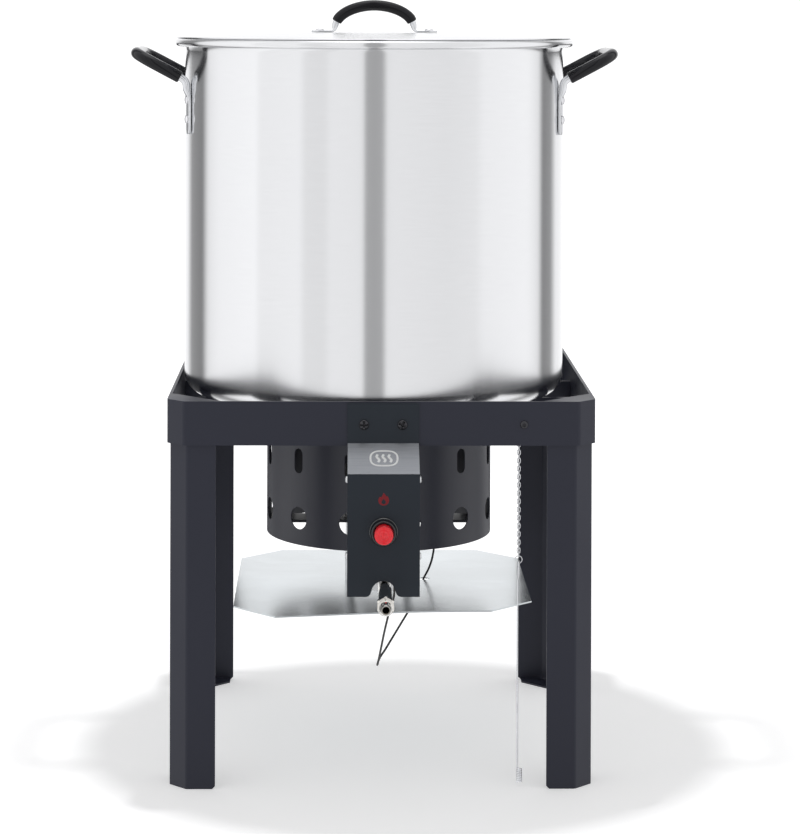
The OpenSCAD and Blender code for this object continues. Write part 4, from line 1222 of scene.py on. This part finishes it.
class FRYER_OT_heat_shield(bpy.types.Operator):
    """Makes the thin galvanised heat shield, hanging a little at one corner"""

    bl_idname = "fryer.heat_shield"
    bl_label = "Heat shield"

    def execute(self, context):
        lo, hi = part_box("heat_shield")
        droop = context.scene.fryer_stand.droop
        thick = hi.z - lo.z
        bm = bmesh.new()
        bmesh.ops.create_grid(bm, x_segments=62, y_segments=60, size=0.5)
        for v in bm.verts:
            v.co = Vector((lo.x + (v.co.x + 0.5) * (hi.x - lo.x), lo.y + (v.co.y + 0.5) * (hi.y - lo.y), 0))
        mid = (lo + hi) / 2
        for sx in (1, -1):
            for sy in (1, -1):
                corner = Vector((hi.x if sx > 0 else lo.x, hi.y if sy > 0 else lo.y, 0))
                edge = corner - Vector((sx * SHIELD_CUT, 0, 0))
                out = Vector((sx, sy, 0)).normalized()
                geom = bm.verts[:] + bm.edges[:] + bm.faces[:]
                bmesh.ops.bisect_plane(bm, geom=geom, plane_co=edge, plane_no=out, clear_outer=True)
        for v in bm.verts:
            x, y = (v.co.x - mid.x) / (hi.x - mid.x), (v.co.y - mid.y) / (hi.y - mid.y)
            reach = max(0.0, -x * 0.6 - y * 0.7 - 0.45)
            right = max(0.0, x * 0.6 - y * 0.7 - 0.45)
            bow = 0.0006 * math.sin(2.2 * x + 0.6) * max(0.0, -y)
            v.co.z = -droop * reach ** 1.5 * 1.9 + 0.0016 * right ** 1.4 + bow
        bm.normal_update()
        mesh = bpy.data.meshes.new("heat_shield_sheet")
        bm.to_mesh(mesh)
        bm.free()
        sheet = bpy.data.objects.new("heat_shield_sheet", mesh)
        bpy.context.scene.collection.objects.link(sheet)
        solid = sheet.modifiers.new("thickness", "SOLIDIFY")
        solid.thickness = thick
        solid.offset = -1
        drills = []
        for x, y, r in SHIELD_HOLES:
            drill = bpy.data.meshes.new("drill")
            verts, faces = placed(
                turned([(0, 12 * MM), (r * MM, 12 * MM), (r * MM, -12 * MM), (0, -12 * MM)], 40),
                Matrix.Translation((x * MM, y * MM, 0)),
            )
            drill.from_pydata([tuple(v) for v in verts], [], faces)
            finish_mesh(drill)
            tool = bpy.data.objects.new("drill", drill)
            bpy.context.scene.collection.objects.link(tool)
            cutter = sheet.modifiers.new("hole", "BOOLEAN")
            cutter.operation = "DIFFERENCE"
            cutter.object = tool
            drills.append(tool)
        graph = bpy.context.evaluated_depsgraph_get()
        done = bpy.data.meshes.new_from_object(sheet.evaluated_get(graph))
        for o in [sheet, *drills]:
            bpy.data.objects.remove(o)
        done.transform(Matrix.Translation((0, 0, hi.z)))
        done.name = "heat_shield_sheet"
        finish_mesh(done, 40)
        settle("heat_shield_sheet", done, finish_of("galvanised"), "stand", ["heat_shield"])
        return {"FINISHED"}


# ---- Control box ----


class FRYER_OT_control_box(bpy.types.Operator):
    """Makes the box's brushed sloping plate, painted lighter than the coat as a highlight from above, its
    badge and the flame mark
    """

    bl_idname = "fryer.control_box"
    bl_label = "Control box trim"

    def execute(self, context):
        lo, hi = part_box("box_cover")
        x = (lo.x + hi.x) / 2
        low_edge, top_edge = Vector((x, lo.y, SLOPE_LOW)), Vector((x, hi.y - 1.2 * MM, SLOPE_TOP))
        up = (top_edge - low_edge).normalized()
        out = up.cross(Vector((-1, 0, 0))).normalized()
        if out.y > 0:
            out = -out
        side = Vector((1, 0, 0))
        length = (top_edge - low_edge).length
        centre = (low_edge + top_edge) / 2
        face = Matrix((
            (side.x, up.x, out.x, centre.x),
            (side.y, up.y, out.y, centre.y),
            (side.z, up.z, out.z, centre.z),
            (0, 0, 0, 1),
        ))
        w, h = (hi.x - lo.x) / 2 - 0.3 * MM, length / 2 - 0.9 * MM
        plate = slab([(-w, -h), (w, -h), (w, h), (-w, h)], 0.25 * MM, face)
        # The sloping plate: a painted highlight, lighter than the coat where light from above falls
        piece("slope_plate", *plate, finish_of("slope_plate"), "stand", "powder_coat")
        lift = face @ Matrix.Translation((0.5 * MM, 0.3 * MM, 0.25 * MM))
        badge = join([placed(part, lift) for part in self.badge()])
        piece("badge", *badge, finish_of("white_print"), "stand", "powder_coat")
        front = Matrix.Translation((x, lo.y, FLAME_HEIGHT)) @ TO_FRONT
        flame = join([placed(part, front) for part in self.flame()])
        piece("flame_mark", *flame, finish_of("red_print"), "stand", "powder_coat")
        return {"FINISHED"}

    def ribbon(self, line, width, thick, closed=False):
        """A flat raised line."""
        section = [(-width / 2, 0), (width / 2, 0), (width / 2, thick), (-width / 2, thick)]
        points = [Vector((x, y, 0)) for x, y in line]
        n = len(points)
        verts, faces = [], []
        for i, p in enumerate(points):
            a = points[i - 1] if i or closed else p
            b = points[(i + 1) % n] if i < n - 1 or closed else p
            t = (b - a).normalized()
            u = Vector((-t.y, t.x, 0))
            verts += [p + u * s + Vector((0, 0, z)) for s, z in section]
        for i in range(n if closed else n - 1):
            for k in range(4):
                a, b = i * 4 + k, i * 4 + (k + 1) % 4
                faces.append([a, b, ((i + 1) % n) * 4 + (k + 1) % 4, ((i + 1) % n) * 4 + k])
        if not closed:
            faces += [[0, 1, 2, 3][::-1], [n * 4 - 4, n * 4 - 3, n * 4 - 2, n * 4 - 1]]
        return verts, faces

    def badge(self):
        """An oblong ring round three wavy heat lines."""
        w, h = 13.4 * MM, 10.6 * MM
        ring = []
        for k in range(96):
            c, s = math.cos(2 * math.pi * k / 96), math.sin(2 * math.pi * k / 96)
            ring.append((w * math.copysign(abs(c) ** 0.62, c), h * math.copysign(abs(s) ** 0.8, s)))
        parts = [self.ribbon(ring, 2.0 * MM, 0.12 * MM, closed=True)]
        for x in (-6, 0, 6):
            steps = [i / 30 for i in range(31)]
            wave = [((x + 1.3 * math.sin(t * 2 * math.pi)) * MM, (t - 0.5) * 11 * MM) for t in steps]
            parts.append(self.ribbon(wave, 2.6 * MM, 0.12 * MM))
        return parts

    def flame(self):
        """A two-tongued flame with an open heart."""
        outer = [
            (0.0, 7.4), (1.7, 5.2), (3.0, 3.1), (3.5, 4.2), (4.9, 1.6), (5.4, -1.2), (4.7, -3.9), (2.9, -5.9),
            (0.0, -6.7), (-2.9, -5.9), (-4.7, -3.9), (-5.4, -1.2), (-4.9, 1.2), (-3.6, 3.4), (-3.1, 2.2),
            (-1.9, 3.4), (-0.9, 5.2),
        ]
        inner = [
            (0.0, 0.9), (1.3, -0.9), (2.3, -2.6), (1.9, -4.2), (0.0, -5.1), (-1.9, -4.2), (-2.3, -2.6),
            (-1.3, -0.9),
        ]
        steps, squash, raised = 72, 0.9, 0.3
        rings = []
        for outline in (outer, inner):
            points = [Vector((x * MM, (y * squash + raised) * MM, 0)) for x, y in outline]
            lengths = [0.0]
            for a, b in zip(points, points[1:] + points[:1]):
                lengths.append(lengths[-1] + (b - a).length)
            ring = []
            for i in range(steps):
                s = lengths[-1] * i / steps
                k = max(j for j in range(len(points)) if lengths[j] <= s)
                t = (s - lengths[k]) / (lengths[k + 1] - lengths[k])
                ring.append(points[k].lerp(points[(k + 1) % len(points)], t))
            rings.append(ring)
        thick = Vector((0, 0, 0.12 * MM))
        verts = rings[0] + rings[1] + [p + thick for p in rings[0]] + [p + thick for p in rings[1]]
        n = steps
        faces = []
        for i in range(n):
            j = (i + 1) % n
            faces.append([i, j, n + j, n + i])
            faces.append([2 * n + i, 2 * n + j, 3 * n + j, 3 * n + i])
            faces.append([i, j, 2 * n + j, 2 * n + i])
            faces.append([n + i, n + j, 3 * n + j, 3 * n + i])
        return [(verts, faces)]


# ---- Igniter ----


class FRYER_OT_igniter(bpy.types.Operator):
    """Makes the igniter's glossy bezel and its red button"""

    bl_idname = "fryer.igniter"
    bl_label = "Igniter"

    def execute(self, context):
        face = high("igniter_bezel").y
        forward = Matrix.Translation((IGNITER.x, face, IGNITER.z)) @ TO_FRONT
        bore = 9.6
        outline = [(bore, 0), (14.3, 0), (14.3, 1.5)]
        outline += [(14.0, 2.0), (13.4, 2.4), (13.0, 3.0), (12.6, 5.0), (12.25, 7.4)]
        outline += round_points((11.1, 7.9), 1.1, 0, 90, 5)
        outline += [(10.2, 9.0), (bore, 8.6)]
        bezel = placed(turned([(r * MM, z * MM) for r, z in outline], 96), forward)
        piece(
            "igniter_bezel_ring", *bezel,
            finish_of("igniter_plastic"), "stand", "igniter_plastic", ["igniter_bezel"], sharp=45,
        )
        top = (face - low("igniter_button").y) / MM
        r = 9.2
        outline = [(0, top - 0.7), (1.4, top - 0.85), (2.3, top - 1.25), (2.8, top - 1.4), (3.3, top - 1.15)]
        outline += [(3.9, top - 0.6), (5.2, top - 0.45), (6.2, top - 0.6), (6.9, top - 0.2), (7.6, top)]
        outline += round_points((7.6, top - 1.6), 1.6, 90, 0, 7)
        outline += [(r, 7.0), (3.5, 7.0), (3.5, -23.0), (0, -23.0)]
        button = placed(turned([(q * MM, z * MM) for q, z in outline], 72), forward)
        piece(
            "igniter_button_cap", *button,
            finish_of("red_plastic"), "igniter_button", "red_plastic", ["igniter_button"], sharp=45,
        )
        spring = coil(5, 5.2 * MM, 16.6 * MM, 0.6 * MM, 24)
        seat = Matrix.Translation((IGNITER.x, face + 14.4 * MM, IGNITER.z)) @ TO_FRONT
        piece(
            "igniter_spring_coil", *placed(spring, seat),
            finish_of("chrome"), "stand", "chrome", ["igniter_spring"], sharp=60,
        )
        return {"FINISHED"}


# ---- Gas line ----


class FRYER_OT_gas_line(bpy.types.Operator):
    """Makes the flare fitting with its thread and hexagon"""

    bl_idname = "fryer.gas_line"
    bl_label = "Gas inlet"

    def execute(self, context):
        tip = low("gas_inlet").y
        along = Matrix.Translation((GAS.x, tip, GAS.z)) @ TO_BACK
        pitch, half_across_flats = 25.4 / 18, 8.0 * MM
        outline = [(3.3, 26.0), (3.3, 0.6), (3.7, 0.0), (4.6, 0.0), (6.8, 5.0), (6.8, 7.6), (7.15, 7.9)]
        outline += [(7.15, 18.6), (7.0, 19.0), (8.2, 19.0), (9.2, 19.5), (9.2, 26.0)]
        body = turned([(r * MM, z * MM) for r, z in outline], 72)
        flats = []
        for v in body[0]:
            r = math.hypot(v.x, v.y)
            if v.z > 18.9 * MM and r > 7.5 * MM:
                a = math.atan2(v.y, v.x)
                near = (a + math.pi / 6) % (math.pi / 3) - math.pi / 6
                limit = half_across_flats / math.cos(near)
                if r > limit:
                    v.x, v.y = v.x * limit / r, v.y * limit / r
            flats.append(v)
        thread = self.thread(pitch)
        parts = join([placed((flats, body[1]), along), placed(thread, along)])
        piece("gas_inlet_fitting", *parts, finish_of("nickel"), "stand", "nickel", ["gas_inlet"], sharp=35)
        return {"FINISHED"}

    def thread(self, pitch):
        """A V-shaped ridge wound round the fitting, running out at both ends."""
        turns, steps = 7.2, 40
        count = int(turns * steps)
        verts, faces = [], []
        for i in range(count + 1):
            a = 2 * math.pi * i / steps
            z = 7.9 + pitch * 0.5 + pitch * i / steps
            run = min(1, i / 14, (count - i) / 14)
            crest = 7.05 + 0.87 * run
            for r, dz in ((7.0, -0.48), (crest, -0.09), (crest, 0.09), (7.0, 0.48)):
                verts.append(Vector((r * math.cos(a), r * math.sin(a), z + dz * pitch)) * MM)
        for i in range(count):
            for k in range(4):
                a, b = i * 4 + k, i * 4 + (k + 1) % 4
                faces.append([a, b, b + 4, a + 4])
        faces += [[3, 2, 1, 0], [count * 4, count * 4 + 1, count * 4 + 2, count * 4 + 3]]
        return verts, faces


# ---- Match holder ----


class FRYER_OT_match_holder(bpy.types.Operator):
    """Makes the chain, the split ring and the twisted wire rod that holds a match"""

    bl_idname = "fryer.match_holder"
    bl_label = "Match holder"

    def execute(self, context):
        chain = context.scene.fryer_chain
        half = (chain.pitch + 0.1 * MM) / 2 + 2 * chain.wire
        links = grown("chain_links", chain_tree(), {
            "Links": chain.links, "Pitch": chain.pitch, "Wire": chain.wire, "Half width": 1.4 * MM,
            "Top": (HOLDER_X, HOLDER_Y, high("chain").z - half), "Finish": finish_of("chrome"),
        }, sharp=60)
        settle("chain_links", links, None, "chain", ["chain"])
        self.ring()
        self.rod()
        return {"FINISHED"}

    def ring(self):
        """A ring of two close turns of wire."""
        lo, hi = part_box("split_ring")
        r = (hi.x - lo.x) / 2 - 0.6 * MM
        turns = coil(1.9, r, 0.84 * MM, 0.4 * MM, 44)
        at = Matrix.Translation((HOLDER_X, HOLDER_Y + 0.42 * MM, (lo.z + hi.z) / 2)) @ TO_FRONT
        piece(
            "split_ring_wire", *placed(turns, at),
            finish_of("chrome"), "match_holder", "chrome", ["split_ring"], sharp=60,
        )

    def rod(self):
        """An eye, two wires twisted together, a long straight wire and a small coil."""
        lo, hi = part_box("match_rod")
        wire = 0.9 * MM
        eye_r = 2.3 * MM
        eye_z = hi.z - eye_r - wire
        neck_top, neck_low = eye_z - 2.6 * MM, eye_z - 12 * MM
        shift = -0.8 * MM
        round_eye = [math.radians(-154 + 11 * i) for i in range(29)]
        eye = [Vector((0, eye_r * math.sin(a), eye_z + eye_r * math.cos(a))) for a in round_eye]
        one = []
        twists, apart = 2.6, 0.92 * MM
        for i in range(61):
            a = math.pi / 2 + i / 60 * 2 * math.pi * twists
            z = neck_top + (neck_low - neck_top) * i / 60
            one.append(Vector((apart * math.cos(a), apart * math.sin(a), z)))
        two = [Vector((-p.x, -p.y, p.z)) for p in one]
        coil_top, coil_r = lo.z + 13.8 * MM, 2.2 * MM
        straight = [Vector((shift, 0, neck_low - 4 * MM)), Vector((shift, 0, coil_top + 8 * MM))]
        winding = []
        for i in range(161):
            a = math.pi + 2 * math.pi * i / 20
            z = coil_top + 0.9 * MM - (coil_top - lo.z) * i / 160
            winding.append(Vector((shift + coil_r * (1 + math.cos(a)), coil_r * math.sin(a), z)))
        section = oval(wire, wire, 10)
        parts = [
            swept(eye + [one[0].lerp(eye[-1], 0.5)] + one + straight + winding, section, (1, 0, 0)),
            swept([eye[0], eye[0].lerp(two[0], 0.5)] + two, section, (1, 0, 0)),
        ]
        at = Matrix.Translation((HOLDER_X, HOLDER_Y, 0))
        piece(
            "match_rod_wire", *join([placed(p, at) for p in parts]),
            finish_of("chrome"), "match_holder", "chrome", ["match_rod"], sharp=60,
        )


# ---- Panel and registration ----


STEPS = (
    FRYER_OT_stage,
    FRYER_OT_finishes,
    FRYER_OT_igniter_wire,
    FRYER_OT_pot,
    FRYER_OT_lid,
    FRYER_OT_pot_handles,
    FRYER_OT_lid_handle,
    FRYER_OT_screws,
    FRYER_OT_heat_shield,
    FRYER_OT_control_box,
    FRYER_OT_igniter,
    FRYER_OT_gas_line,
    FRYER_OT_match_holder,
)
SETTINGS = {
    "fryer_pot": FryerPotSettings,
    "fryer_stand": FryerStandSettings,
    "fryer_chain": FryerChainSettings,
    "fryer_stage": FryerStageSettings,
}


class FRYER_PT_panel(bpy.types.Panel):
    """Lists the fryer's sizes, colours and making steps"""

    bl_idname = "FRYER_PT_panel"
    bl_label = "Turkey Fryer Kit"
    bl_space_type = "VIEW_3D"
    bl_region_type = "UI"
    bl_category = "Fryer"

    def draw(self, context):
        for name, kind in SETTINGS.items():
            box = self.layout.box()
            for key in kind.__annotations__:
                box.prop(getattr(context.scene, name), key)
        for step in STEPS:
            self.layout.operator(step.bl_idname)


def register():
    for kind in (*SETTINGS.values(), *STEPS, FRYER_PT_panel):
        bpy.utils.register_class(kind)
    for name, kind in SETTINGS.items():
        setattr(bpy.types.Scene, name, PointerProperty(type=kind))


def unregister():
    for name in SETTINGS:
        delattr(bpy.types.Scene, name)
    for kind in (FRYER_PT_panel, *reversed(STEPS), *reversed(list(SETTINGS.values()))):
        bpy.utils.unregister_class(kind)


def main():
    register()
    for step in STEPS:
        group, name = step.bl_idname.split(".")
        getattr(getattr(bpy.ops, group), name)()


if __name__ == "__main__":
    main()
